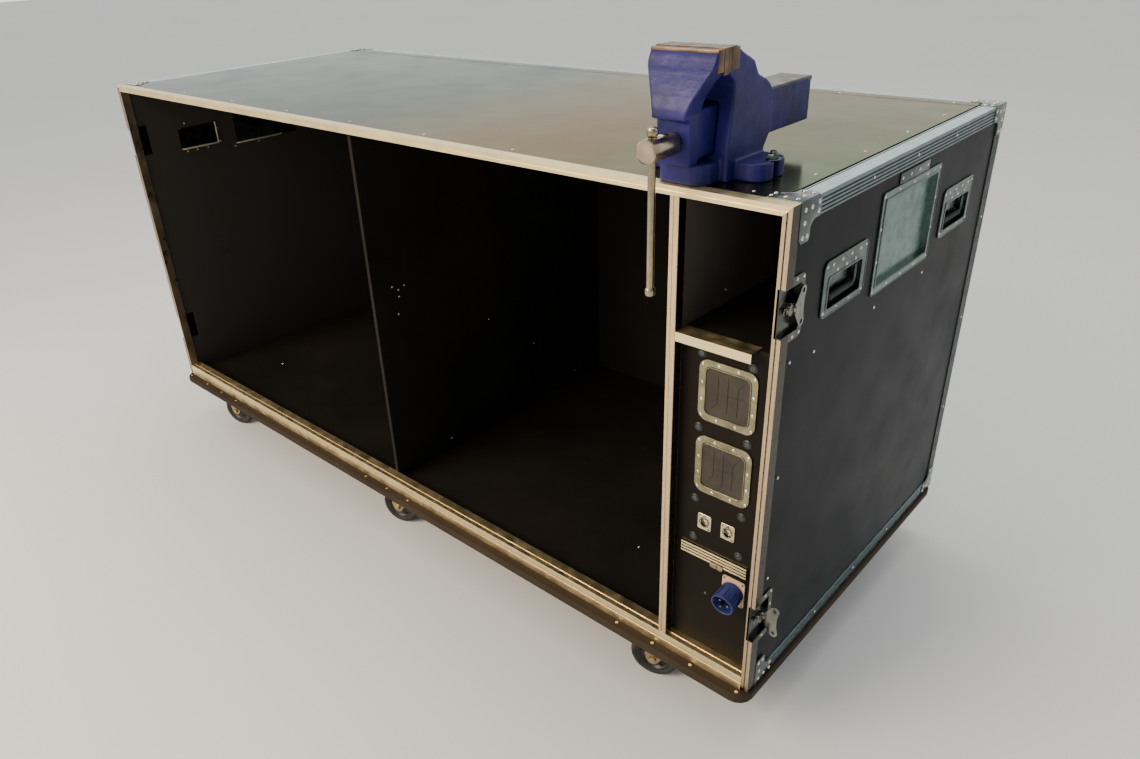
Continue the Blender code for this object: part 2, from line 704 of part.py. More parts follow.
def build_latch_dish(name, side, z):
    """A latch's riveted dish, let into the panel and open at the case's front edge."""
    rim, tray = recessed_rim(side, LATCH_DEPTH)
    back = FRONT + LATCH_SIZE[0]
    dish = plate(name, rounded(((FRONT + back) / 2, z), LATCH_SIZE, 0.010), *rim, "X", "zinc_steel")
    half = LATCH_SIZE[1] / 2 - LATCH_RIM
    outside_low = (tray[0], FRONT + 0.0006, z - half)
    fuse(dish, box("latch_outside", outside_low, (tray[1], back - LATCH_RIM, z + half)))
    reach = sorted((side * (HALF_LENGTH - RAIL_FACE), side * (HALF_LENGTH + CUT_PAST)))
    for sign in (-1, 1):
        band = sorted((z + sign * (LATCH_NOTCH - GAP), z + sign * LATCH_SIZE[1]))
        low = (reach[0], FRONT - CUT_PAST, band[0])
        cut(dish, box("stile_clearance", low, (reach[1], FRONT + RAIL_DEPTH + GAP, band[1])))
    open_x = sorted((side * (PANEL_OUT + GAP - LATCH_DEPTH + SHEET), side * (HALF_LENGTH + CUT_PAST)))
    inner = LATCH_NOTCH - GAP - SHEET
    low = (open_x[0], FRONT - CUT_PAST, z - inner)
    cut(dish, box("latch_inside", low, (open_x[1], back - LATCH_RIM - SHEET, z + inner)))


def build_latch(side, end, height):
    """A recessed butterfly latch: dish, turning rotor with its hook arm, and folding wing."""
    name = f"{'left' if side < 0 else 'right'}_{end}_latch"
    z = BODY_BOTTOM + height
    build_latch_dish(name + "_dish", side, z)
    axis_y = FRONT + LATCH_AXIS_SETBACK
    floor_x = PANEL_OUT + GAP - LATCH_DEPTH + SHEET + GAP
    hub = (side * floor_x, axis_y, z)
    rotor = rod(name + "_rotor", hub, (side * (HALF_LENGTH + 0.0004), axis_y, z), HUB_RADIUS, "chrome", 20)
    arm_x = sorted((side * (floor_x + 0.001), side * (floor_x + 0.004)))
    arm = plate("rotor_arm", rounded((axis_y - 0.008, z), (0.022, 0.011), 0.005, 3), *arm_x, "X")
    hinge = Vector((side * (HALF_LENGTH + WING_HEIGHT_ABOVE), axis_y + WING_HINGE_OFFSET, z))
    lug_x = sorted((side * (HALF_LENGTH - 0.001), hinge.x + side * LUG_REACH))
    lug_low = (lug_x[0], hinge.y - 0.0025, z - LUG_HALF_WIDTH)
    lug = box("rotor_lug", lug_low, (lug_x[1], hinge.y + LUG_REACH, z + LUG_HALF_WIDTH))
    fuse(rotor, arm, lug)
    settled(rotor, arm, lug)
    pivot_at(rotor, hub)
    wing_x = (hinge.x - WING_HALF_THICKNESS, hinge.x + WING_HALF_THICKNESS)
    wing = plate(name + "_wing", wing_outline(hinge.y, z), *wing_x, "X", "chrome")
    holes = []
    for sign in (-1, 1):
        at = (hinge.y + WING_REACH, z + sign * WING_SPREAD)
        ends = [(x, *at) for x in (wing_x[0] - CUT_PAST, wing_x[1] + CUT_PAST)]
        holes.append(rod("wing_eye", *ends, WING_EYE, segments=14))
    cut(wing, *holes)
    settled(wing, *holes)
    pivot_at(wing, hinge, rotor)
    wing.rotation_euler.z = -side * math.radians(WING_REST_ANGLE[end])


def wing_outline(y, z):
    """A folded wing, notched around the rotor's lug and widening to a round lobe at each end."""
    root = (y - 0.0005, y + 0.0024)
    notch = LUG_HALF_WIDTH + GAP
    half = [(root[1], notch), (root[0], notch), (root[0], WING_ROOT)]
    for step in range(7):
        angle = math.radians(150 - 180 * step / 6)
        half.append((y + WING_REACH + WING_LOBE * math.cos(angle), WING_SPREAD + WING_LOBE * math.sin(angle)))
    half.append((y + WING_REACH + 0.0045, 0.008))
    upper = [(u, z + v) for u, v in half]
    return upper + [(u, z - v) for u, v in reversed(half)]


# ---------------------------------------------------------------- vise


def vise_plate(name, outline, half_width, colour="vise_blue"):
    """A side view of the vise, as (Y, height above the worktop), extruded to both sides of its middle."""
    points = [(y, VISE_BASE_Z + height) for y, height in outline]
    return plate(name, points, VISE_X - half_width, VISE_X + half_width, "X", colour)


def vise_box(name, x_half, y_low, y_high, low, high):
    base = VISE_BASE_Z
    return box(name, (VISE_X - x_half, y_low, base + low), (VISE_X + x_half, y_high, base + high))


def build_vise_body():
    """The fixed casting: base with two lugs, cheeks around the slide, and the rear jaw."""
    outline = [
        (-0.362, 0.0),
        (-0.362, 0.042),
        (-0.352, 0.118),
        (-0.352, 0.134),
        (-0.371, 0.150),
        (-0.371, 0.1815),
        (-0.349, 0.1815),
        (-0.334, 0.172),
        (-0.303, 0.158),
        (-0.290, 0.138),
        (-0.262, 0.126),
        (-0.247, 0.112),
        (-0.243, 0.056),
        (-0.262, 0.030),
        (-0.262, 0.0),
    ]
    body = vise_plate("vise_body", outline, VISE_HALF_WIDTH)
    base = VISE_BASE_Z
    foot_outline = rounded((VISE_X, -0.3615), (0.082, 0.083), 0.020, 4)
    foot = plate("vise_foot", foot_outline, base, base + VISE_FOOT_HEIGHT, "Z")
    lug_outline = rounded((VISE_X, LUG_Y), (0.196, 0.078), 0.022, 4)
    lug = plate("vise_lug", lug_outline, base, base + LUG_HEIGHT, "Z")
    slide = SLIDE_CLEARANCE
    tunnel = vise_box("vise_tunnel", SLIDE_HALF_WIDTH + slide, -0.45, -0.20, SLIDE_BOTTOM - slide,
                      SLIDE_TOP + slide)
    slots = []
    for sign in (-1, 1):
        slot_outline = rounded((VISE_X + sign * LUG_SLOT_X, LUG_Y), (0.030, 0.013), 0.006, 4)
        slots.append(plate("lug_slot", slot_outline, base - CUT_PAST, base + 0.05, "Z"))
    fuse(body, foot, lug)
    cut(body, tunnel, *slots)
    nut = vise_box("vise_nut", 0.0125, -0.310, -0.280, 0.036, 0.078)
    screw_z = base + SPINDLE_HEIGHT
    screw = rod("nut_bore", (VISE_X, -0.33, screw_z), (VISE_X, -0.26, screw_z), SPINDLE_RADIUS + 0.0008)
    fuse(body, nut)
    cut(body, screw)


def build_moving_jaw():
    """The front jaw, its boss for the spindle and the hollow slide bar behind it."""
    outline = [
        (-0.399, 0.1790),
        (-0.3735, 0.1815),
        (-0.3735, 0.148),
        (-0.384, 0.140),
        (-0.392, 0.118),
        (-0.392, SLIDE_BOTTOM),
        (-0.398, 0.030),
        (-0.4180, 0.030),
        (-0.4180, 0.090),
        (-0.433, 0.094),
        (-0.427, 0.122),
        (-0.410, 0.150),
    ]
    jaw = vise_plate("vise_moving_jaw", outline, VISE_HALF_WIDTH + 0.001)
    base = VISE_BASE_Z
    trims = []
    for sign in (-1, 1):
        wide, narrow = VISE_HALF_WIDTH + 0.010, 0.0275
        side_view = [
            (VISE_X + sign * wide, base + 0.168),
            (VISE_X + sign * (VISE_HALF_WIDTH + 0.0012), base + 0.160),
            (VISE_X + sign * (narrow + 0.006), base + 0.118),
            (VISE_X + sign * narrow, base + 0.100),
            (VISE_X + sign * narrow, base + 0.020),
            (VISE_X + sign * wide, base + 0.020),
        ]
        trims.append(plate("jaw_taper", side_view, -0.45, -0.36, "Y"))
    cut(jaw, *trims)
    bar = vise_box("slide_bar", SLIDE_HALF_WIDTH, -0.400, SLIDE_TAIL_Y, SLIDE_BOTTOM, SLIDE_TOP)
    fuse(jaw, bar)
    channel = vise_box("slide_channel", 0.015, -0.385, SLIDE_TAIL_Y - 0.012, 0.020, 0.082)
    bore_z = base + SPINDLE_HEIGHT
    bore = rod("spindle_bore", (VISE_X, -0.45, bore_z), (VISE_X, -0.37, bore_z), SPINDLE_RADIUS + 0.0006)
    cut(jaw, channel, bore)


def build_spindle():
    """The screw with its turned head, and the sliding tommy bar that hangs in it."""
    base = VISE_BASE_Z
    z = base + SPINDLE_HEIGHT
    ends = [(VISE_X, y, z) for y in (SPINDLE_END_Y, HEAD_BACK_Y - 0.002)]
    spindle = rod("vise_spindle", *ends, SPINDLE_RADIUS, segments=20)
    head = rod("spindle_head", (VISE_X, HEAD_BACK_Y, z), (VISE_X, HEAD_FRONT_Y, z), HEAD_RADIUS, segments=32)
    ends = [(VISE_X, TOMMY_Y, z + sign * 0.05) for sign in (-1, 1)]
    hole = rod("tommy_hole", *ends, TOMMY_BORE, segments=20)
    fuse(spindle, head)
    cut(spindle, hole)
    settled(spindle, head, hole)
    pivot_at(spindle, (VISE_X, HEAD_FRONT_Y, z))
    low, high = base + TOMMY_BOTTOM, base + TOMMY_TOP
    ends = [(VISE_X, TOMMY_Y, height) for height in (low + 0.002, high - 0.002)]
    bar = rod("vise_tommy_bar", *ends, TOMMY_RADIUS, segments=16)
    caps = []
    for start in (low, high - TOMMY_CAP_HEIGHT):
        ends = [(VISE_X, TOMMY_Y, height) for height in (start, start + TOMMY_CAP_HEIGHT)]
        caps.append(rod("tommy_cap", *ends, TOMMY_CAP_RADIUS, segments=20))
    fuse(bar, *caps)
    settled(bar, *caps)
    pivot_at(bar, (VISE_X, TOMMY_Y, z), spindle)


# ---------------------------------------------------------------- casters


def caster_fork_mesh():
    """Crown, two legs that trail to the axle, and the axle; its origin is on the swivel axis."""
    crown_top = CASTER_HEIGHT - PLATE_SIZE[2] - BEARING_HEIGHT - GAP
    outside = FORK_INSIDE + FORK_SHEET
    fork = rod("fork", (0, 0, crown_top - 0.006), (0, 0, crown_top), 0.027, "zinc_steel", 16)
    web = outside - 0.0008
    bridge = box("fork_bridge", (-0.022, -web, crown_top - 0.0055), (0.042, web, crown_top - 0.001))
    helpers = [bridge]
    for sign in (-1, 1):
        leg = [(-0.020, crown_top - 0.002), (0.048, crown_top - 0.002), (0.052, WHEEL_RADIUS + 0.010)]
        for step in range(5):
            angle = math.radians(-180 * (step + 0.5) / 5)
            leg.append((CASTER_TRAIL + 0.013 * math.cos(angle), WHEEL_RADIUS + 0.013 * math.sin(angle)))
        y = sorted((sign * FORK_INSIDE, sign * outside))
        helpers.append(plate("fork_leg", leg, *y, "Y"))
    axle_ends = [(CASTER_TRAIL, sign * (outside + 0.003), WHEEL_RADIUS) for sign in (-1, 1)]
    helpers.append(rod("fork_axle", *axle_ends, AXLE_RADIUS, segments=12))
    fuse(fork, *helpers)
    settled(fork, *helpers)
    mesh = fork.data
    bpy.data.objects.remove(fork)
    return mesh


def caster_wheel_mesh():
    """A bored wheel with sloping shoulders; its origin is at its centre."""
    half = WHEEL_WIDTH / 2
    profile = [(AXLE_BORE, half), (WHEEL_RADIUS - 0.006, half), (WHEEL_RADIUS, half - 0.007)]
    profile += [(radius, -height) for radius, height in reversed(profile)]
    wheel = turned("wheel", profile, "black_rubber", 28)
    mesh = wheel.data
    bpy.data.objects.remove(wheel)
    mesh.transform(Matrix.Rotation(math.radians(90), 4, "X"))
    return mesh


def caster_pedal_mesh():
    """The brake lever over the trailing end of the fork; its origin is on its pivot."""
    outline = [
        (-0.004, 0.002),
        (0.014, 0.0028),
        (0.046, 0.006),
        (0.070, -0.004),
        (0.076, -0.002),
        (0.077, -0.007),
        (0.070, -0.009),
        (0.046, 0.001),
        (0.014, -0.0015),
        (-0.004, -0.002),
    ]
    pedal = plate("pedal", outline, -0.016, 0.016, "Y", "zinc_steel")
    pin = rod("pedal_pin", (0, -FORK_INSIDE + 0.0005, 0), (0, FORK_INSIDE - 0.0005, 0), 0.0024, segments=10)
    fuse(pedal, pin)
    settled(pedal, pin)
    mesh = pedal.data
    bpy.data.objects.remove(pedal)
    return mesh


def build_casters():
    """Six swivel casters with their wheels trailing the same way; the front three have brakes."""
    fork_mesh, wheel_mesh, pedal_mesh = caster_fork_mesh(), caster_wheel_mesh(), caster_pedal_mesh()
    for row, y in (("front", -CASTER_Y), ("rear", CASTER_Y)):
        for place, x in zip(("left", "middle", "right"), CASTER_X):
            name = f"caster_{row}_{place}"
            fork = solid(name + "_fork", fork_mesh, "zinc_steel")
            fork.location = (x, y, 0)
            fork.rotation_euler.z = CASTER_YAW
            wheel = solid(name + "_wheel", wheel_mesh, "black_rubber")
            wheel.parent = fork
            wheel.location = (CASTER_TRAIL, 0, WHEEL_RADIUS)
            if row == "front":
                pedal = solid(name + "_pedal", pedal_mesh, "zinc_steel")
                pedal.parent = fork
                pedal.location = PEDAL_PIVOT


clear_scene()
case_frame = bpy.data.objects.new("case_frame", None)
parts.objects.link(case_frame)
case_frame.location = (0, CASE_Y, 0)

build_dolly()
build_panels()
build_front_frame()
build_edge_extrusions()
build_inside()
build_cable_ports()
build_power_inlet()
for side_sign in (-1, 1):
    for end_name, handle_y in HANDLE_Y.items():
        build_handle(side_sign, end_name, handle_y)
    build_label_dish(side_sign)
    for end_name, latch_height in LATCH_HEIGHTS.items():
        build_latch(side_sign, end_name, latch_height)
build_vise_body()
build_moving_jaw()
build_spindle()
build_casters()
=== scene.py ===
"""Looks of the flight-case workbench: camera, light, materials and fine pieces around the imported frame.

Metres, in the row frame: +Z up, the open front faces -Y, the service column is at the +X end.
"""

import json
import math

import bmesh
import bpy
from mathutils import Matrix, Quaternion, Vector

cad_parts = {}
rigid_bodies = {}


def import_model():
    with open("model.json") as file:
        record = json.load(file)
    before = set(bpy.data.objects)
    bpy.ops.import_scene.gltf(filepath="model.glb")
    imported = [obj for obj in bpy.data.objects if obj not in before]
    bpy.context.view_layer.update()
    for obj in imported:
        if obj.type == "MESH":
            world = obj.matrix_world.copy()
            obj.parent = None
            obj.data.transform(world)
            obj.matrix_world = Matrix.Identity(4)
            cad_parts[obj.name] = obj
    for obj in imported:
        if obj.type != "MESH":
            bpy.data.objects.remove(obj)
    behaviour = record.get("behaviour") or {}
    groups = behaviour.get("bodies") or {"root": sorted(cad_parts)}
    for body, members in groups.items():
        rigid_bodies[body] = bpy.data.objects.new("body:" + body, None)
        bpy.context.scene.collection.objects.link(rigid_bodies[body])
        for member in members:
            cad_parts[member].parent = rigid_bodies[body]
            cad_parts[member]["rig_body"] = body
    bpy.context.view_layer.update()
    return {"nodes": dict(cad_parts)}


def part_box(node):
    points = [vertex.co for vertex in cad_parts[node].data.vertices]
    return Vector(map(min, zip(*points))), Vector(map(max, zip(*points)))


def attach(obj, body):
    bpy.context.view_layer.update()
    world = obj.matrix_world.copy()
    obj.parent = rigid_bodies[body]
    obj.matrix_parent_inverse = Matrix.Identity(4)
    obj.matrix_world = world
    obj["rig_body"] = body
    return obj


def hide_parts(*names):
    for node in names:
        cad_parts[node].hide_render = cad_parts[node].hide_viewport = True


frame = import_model()
nodes = frame["nodes"]
scene = bpy.context.scene

# Camera
CAMERA_PLACE = (1.5010, -1.3832, 1.3498)
CAMERA_TARGET = (0.1464, 0.0310, 0.3154)
CAMERA_ROLL = -0.0482
CAMERA_LENS = 27.16
CAMERA_SHIFT = (0.0236, 0.0012)

# Sheet, rivets and screws
RIVET = (0.0034, 0.0013)
SMALL_RIVET = (0.0026, 0.0010)
PLATE = 0.0011
FACE_SKIN = 0.002

# The vise: distances from the middle of its width and up from its base
JAW_HEAD_LOW = 0.0925
JAW_PLATE_LOW = 0.1478
SLIDE_TOP = 0.104
TUNNEL_HALF = 0.0281
TUNNEL_ROOF = 0.1046
TUNNEL_DEPTH = 0.08
TUNNEL_MATCH = 0.0003
SCREW_LEAD = 0.006
SPINDLE_HEAD = 0.0638

# Lone rivets, as distances from the middle of the case and up from its bottom
PANEL_RIVETS = ((-0.2985, 0.624), (-0.0884, 0.624), (0.1133, 0.624))
PARTITION_RIVETS = ((-0.328, 0.502), (-0.294, 0.496), (-0.312, 0.490), (-0.312, 0.474), (-0.319, 0.433),
                    (-0.041, 0.322), (0.119, 0.193), (-0.204, 0.043), (0.287, 0.042))
STILE_RIVETS = ((-0.379, 0.240), (-0.379, 0.439), (-0.379, 0.638))

# Driving places, read from the frame
edge_low, edge_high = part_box("edge_extrusions")
rail_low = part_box("front_top_rail")[0]
LEFT, RIGHT = edge_low.x, edge_high.x
FRONT, BACK = rail_low.y, edge_high.y
BOTTOM, TOP = edge_low.z, edge_high.z
MIDDLE_Y = (FRONT + BACK) / 2
PANEL_OUT = RIGHT - FACE_SKIN
COLUMN_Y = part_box("rack_panel")[0].y
EDGE_LEG = 0.030
EDGE_MIDDLE = 0.0158
RAIL_BACK = FRONT + 0.0223

# Surround, by the height and by the X of the direction looked in, both from 0 to 1
WORLD_BY_HEIGHT = [(0.0, (0.9, 0.9, 0.9)), (0.5, (1.0, 1.0, 1.0)), (0.72, (0.78, 0.78, 0.76)),
                   (1.0, (0.45, 0.46, 0.48))]
WORLD_BY_SIDE = [(0.0, (1.0, 1.0, 1.0)), (0.58, (1.0, 1.0, 1.0)), (0.85, (0.30, 0.32, 0.33)),
                 (1.0, (0.20, 0.22, 0.23))]

FACING = {
    "front": ((1, 0, 0), (0, 0, 1), (0, -1, 0)),
    "back": ((-1, 0, 0), (0, 0, 1), (0, 1, 0)),
    "right": ((0, 1, 0), (0, 0, 1), (1, 0, 0)),
    "left": ((0, -1, 0), (0, 0, 1), (-1, 0, 0)),
    "top": ((1, 0, 0), (0, 1, 0), (0, 0, 1)),
    "under": ((1, 0, 0), (0, -1, 0), (0, 0, -1)),
}


# ---------------------------------------------------------------- materials


def set_stops(ramp, stops):
    """Sets a colour ramp's stops, as pairs of position and colour."""
    elements = ramp.color_ramp.elements
    while len(elements) < len(stops):
        elements.new(0.5)
    for element, (position, colour) in zip(elements, stops):
        element.position = position
        element.color = (*colour, 1)


class Surface:
    """A Principled material whose variation comes from nodes in object space."""

    def __init__(self, name, colour, roughness, metallic=0.0, **fixed):
        self.material = bpy.data.materials.new(name)
        self.material.use_nodes = True
        self.tree = self.material.node_tree
        self.shader = self.tree.nodes["Principled BSDF"]
        self.shader.inputs["Base Color"].default_value = (*colour, 1)
        self.shader.inputs["Roughness"].default_value = roughness
        self.shader.inputs["Metallic"].default_value = metallic
        for key, value in fixed.items():
            self.shader.inputs[key.replace("_", " ")].default_value = value
        self.place = self.tree.nodes.new("ShaderNodeTexCoord").outputs["Object"]
        self.bumped = None

    def feed(self, socket, value):
        """Links a node's output to a socket, or sets the socket to a plain value."""
        if isinstance(value, bpy.types.NodeSocket):
            self.tree.links.new(value, socket)
        else:
            socket.default_value = value

    def node(self, kind, settings=None, **inputs):
        """Adds a node, with its inputs set or linked by name."""
        made = self.tree.nodes.new("ShaderNode" + kind)
        for key, value in (settings or {}).items():
            setattr(made, key, value)
        for key, value in inputs.items():
            self.feed(made.inputs[key.replace("_", " ")], value)
        return made

    def stretched(self, scale):
        return self.node("Mapping", Vector=self.place, Scale=scale).outputs["Vector"]

    def noise(self, scale, detail=3.0, rough=0.55, stretch=(1, 1, 1)):
        place = self.stretched(stretch)
        made = self.node("TexNoise", Vector=place, Scale=scale, Detail=detail, Roughness=rough)
        return made.outputs["Fac"]

    def cells(self, scale, feature="F1", stretch=(1, 1, 1)):
        place = self.stretched(stretch)
        made = self.node("TexVoronoi", {"feature": feature}, Vector=place, Scale=scale)
        return made.outputs["Distance"]

    def spread(self, value, low, high, to_low=0.0, to_high=1.0):
        inputs = {"Value": value, "From_Min": low, "From_Max": high, "To_Min": to_low, "To_Max": to_high}
        return self.node("MapRange", **inputs).outputs["Result"]

    def maths(self, operation, first, second):
        made = self.node("Math", {"operation": operation})
        for socket, value in zip(made.inputs, (first, second)):
            self.feed(socket, value)
        return made.outputs["Value"]

    def facing_side(self, low=0.5, high=0.75):
        """1 on faces that look along X, 0 on the rest."""
        normal = self.node("NewGeometry").outputs["Normal"]
        split = self.node("SeparateXYZ", Vector=normal)
        return self.spread(self.maths("ABSOLUTE", split.outputs["X"], 0.0), low, high)

    def above(self, height):
        """1 above a height and 0 below it."""
        split = self.node("SeparateXYZ", Vector=self.place)
        return self.maths("GREATER_THAN", split.outputs["Z"], height)

    def ramp(self, value, stops):
        made = self.node("ValToRGB", Fac=value)
        set_stops(made, stops)
        return made.outputs["Color"]

    def mix(self, factor, first, second):
        made = self.node("Mix", {"data_type": "RGBA"})
        self.feed(made.inputs[0], factor)
        for index, value in ((6, first), (7, second)):
            self.feed(made.inputs[index], (*value, 1) if isinstance(value, tuple) else value)
        return made.outputs[2]

    def colour(self, value):
        self.tree.links.new(value, self.shader.inputs["Base Color"])

    def rough(self, value):
        self.tree.links.new(value, self.shader.inputs["Roughness"])

    def metal(self, value):
        self.tree.links.new(value, self.shader.inputs["Metallic"])

    def bump(self, height, strength, distance=0.001):
        """Adds relief; a second call stacks on the first."""
        made = self.node("Bump", Height=height, Strength=strength, Distance=distance)
        if self.bumped:
            self.tree.links.new(self.bumped, made.inputs["Normal"])
        self.bumped = made.outputs["Normal"]
        self.tree.links.new(self.bumped, self.shader.inputs["Normal"])


def laminate(name, dark, light, rough, inner=None):
    """Black phenolic film on plywood: faint pebble, cloudy sheen, a few rubbed marks and dust. A given inner
    colour is painted light on the faces inside the case.
    """
    look = Surface(name, dark, rough, Specular_IOR_Level=0.06)
    cloud = look.noise(3.5, 5)
    rubbed = look.spread(look.noise(26, 2, 0.6, (1, 1, 0.25)), 0.62, 0.80)
    tone = look.ramp(cloud, [(0.30, dark), (0.72, light)])
    dusty = tuple(channel * 1.7 + 0.002 for channel in light)
    tone = look.mix(look.maths("MULTIPLY", rubbed, 0.3), tone, dusty)
    # Painted light: the faces inside the case take the lighter, warmer inner colour in place of the warm
    # light that falls there.
    if inner:
        across = look.node("SeparateXYZ", Vector=look.place).outputs["X"]
        outside = look.maths("GREATER_THAN", look.maths("ABSOLUTE", across, 0.0), PANEL_OUT - 0.002)
        tone = look.mix(outside, inner, tone)
    look.colour(tone)
    look.rough(look.spread(look.noise(9, 6), 0.3, 0.7, rough - 0.05, rough + 0.07))
    look.bump(look.cells(900), 0.08, 0.0003)
    look.bump(look.noise(5, 2), 0.03, 0.004)
    return look.material


def brushed(name, along, colour, dark, rough=0.30, side=1.0):
    """Extruded aluminium with streaks along its length and stains; faces along X can take painted shade, the
    dark tone scaled by side and cooled.
    """
    stretch = [1.0 if axis == along else 30.0 for axis in "XYZ"]
    look = Surface(name, colour, rough, 1.0)
    streak = look.noise(14, 5, 0.6, stretch)
    stain = look.noise(21, 6, 0.65)
    tone = look.ramp(streak, [(0.25, dark), (0.75, colour)])
    marked = tuple(channel * 0.62 for channel in dark)
    tone = look.mix(look.spread(stain, 0.62, 0.85, 0.0, 0.35), tone, marked)
    # Painted shade: faces along X get the dark tone times side, a little cooler.
    side_painted_shade = tuple(channel * side for channel in (dark[0] * 0.92, dark[1], dark[2] * 1.08))
    look.colour(look.mix(look.facing_side(), tone, side_painted_shade) if side < 1 else tone)
    look.rough(look.spread(look.noise(40, 4), 0.3, 0.7, rough - 0.08, rough + 0.12))
    look.bump(streak, 0.025, 0.0003)
    look.bump(stain, 0.02, 0.0004)
    return look.material


def worktop_sheet():
    """A smooth grey metal sheet, stained and finely scratched, on a black laminated board; teal, brown and
    green bands along X are painted reflection.
    """
    look = Surface("worktop_sheet", (0.40, 0.43, 0.42), 0.2, 1.0, Specular_Tint=(0.52, 0.52, 0.48, 1))
    on_top = look.above(TOP - 0.0012)
    large = look.noise(1.3, 5, 0.5, (1, 0.45, 1))
    across = look.node("SeparateXYZ", Vector=look.place).outputs["X"]
    shifted = look.maths("ADD", look.spread(across, LEFT, RIGHT), look.spread(large, 0.2, 0.8, -0.2, 0.2))
    # Painted reflection: teal, warm brown and green bands along X, wobbled by noise, stand in for the
    # surroundings mirrored in the sheet.
    painted_reflection_tints = [(0.12, (0.17, 0.27, 0.30)), (0.38, (0.16, 0.24, 0.23)), (0.58, (0.36, 0.31, 0.20)),
             (0.80, (0.37, 0.26, 0.15)),
             (0.98, (0.25, 0.31, 0.21))]
    tone = look.ramp(shifted, painted_reflection_tints)
    smudge = look.spread(look.noise(9, 7, 0.62), 0.45, 0.75)
    tone = look.mix(look.maths("MULTIPLY", smudge, 0.35), tone, (0.52, 0.48, 0.38))
    lines = look.noise(60, 2, 0.5, (0.12, 1.6, 1))
    crossed = look.noise(48, 2, 0.5, (1.7, 0.15, 1))
    scratch = look.maths("MAXIMUM", look.spread(lines, 0.70, 0.73), look.spread(crossed, 0.71, 0.74))
    tone = look.mix(look.maths("MULTIPLY", scratch, 0.22), tone, (0.60, 0.58, 0.50))
    look.colour(look.mix(on_top, (0.012, 0.012, 0.013), tone))
    sheen = look.spread(look.noise(7, 5), 0.3, 0.7, 0.10, 0.22)
    rubbed = look.maths("MAXIMUM", sheen, look.maths("MULTIPLY", scratch, 0.36))
    blended = look.node("Mix", {"data_type": "FLOAT"})
    for index, value in ((0, on_top), (2, 0.48), (3, rubbed)):
        look.feed(blended.inputs[index], value)
    look.rough(blended.outputs[0])
    look.metal(on_top)
    look.bump(look.noise(2.2, 2), 0.10, 0.006)
    look.bump(scratch, 0.05, 0.0002)
    return look.material


def pressed(name, colour, dark, rough):
    """Plated pressed steel: cloudy plating with small specks."""
    look = Surface(name, colour, rough, 1.0)
    cloud = look.noise(38, 6, 0.62)
    fleck = look.spread(look.cells(260), 0.05, 0.30)
    tone = look.ramp(cloud, [(0.28, dark), (0.70, colour)])
    look.colour(look.mix(look.maths("MULTIPLY", fleck, 0.18), tone, tuple(0.8 * c for c in dark)))
    look.rough(look.spread(look.noise(55, 4), 0.3, 0.7, rough - 0.08, rough + 0.14))
    look.bump(cloud, 0.10, 0.0008)
    return look.material


def cast_paint():
    """Violet-blue enamel over a rough casting, with a glossy coat and rubbed high spots."""
    fixed = {"Coat_Weight": 0.06, "Coat_Roughness": 0.22, "Specular_IOR_Level": 0.22}
    look = Surface("vise_enamel", (0.02, 0.018, 0.15), 0.34, 0.0, **fixed)
    cloud = look.noise(14, 5, 0.6)
    tone = look.ramp(cloud, [(0.30, (0.007, 0.007, 0.066)), (0.52, (0.014, 0.012, 0.115)),
                             (0.75, (0.040, 0.026, 0.175))])
    chips = look.spread(look.noise(95, 5, 0.7), 0.72, 0.80)
    look.colour(look.mix(look.maths("MULTIPLY", chips, 0.5), tone, (0.22, 0.16, 0.24)))
    look.rough(look.spread(look.noise(60, 4), 0.3, 0.7, 0.30, 0.48))
    look.bump(look.noise(220, 4, 0.6), 0.34, 0.0010)
    look.bump(look.noise(34, 3), 0.07, 0.002)
    return look.material


def machined(name, colour, dark, rough, along, relief=0.12):
    """Ground or turned steel with fine tool lines along an axis and a brownish oil stain."""
    stretch = [1.0 if axis == along else 22.0 for axis in "XYZ"]
    look = Surface(name, colour, rough, 1.0)
    lines = look.noise(70, 3, 0.5, stretch)
    stain = look.noise(32, 5, 0.6)
    tone = look.ramp(stain, [(0.32, dark), (0.68, colour)])
    look.colour(look.mix(look.maths("MULTIPLY", look.spread(lines, 0.5, 0.8), 0.4), tone, dark))
    look.rough(look.spread(look.noise(45, 4), 0.3, 0.7, rough - 0.06, rough + 0.12))
    look.bump(lines, relief, 0.0003)
    return look.material


def moulded(name, colour, light, rough, grain=420, relief=0.16):
    """Moulded rubber or plastic: a fine grain and slight dusting."""
    look = Surface(name, colour, rough, Specular_IOR_Level=0.4)
    dust = look.noise(28, 5, 0.6)
    look.colour(look.ramp(dust, [(0.35, colour), (0.78, light)]))
    look.rough(look.spread(look.noise(70, 4), 0.3, 0.7, rough - 0.07, rough + 0.10))
    look.bump(look.cells(grain), relief, 0.0004)
    return look.material


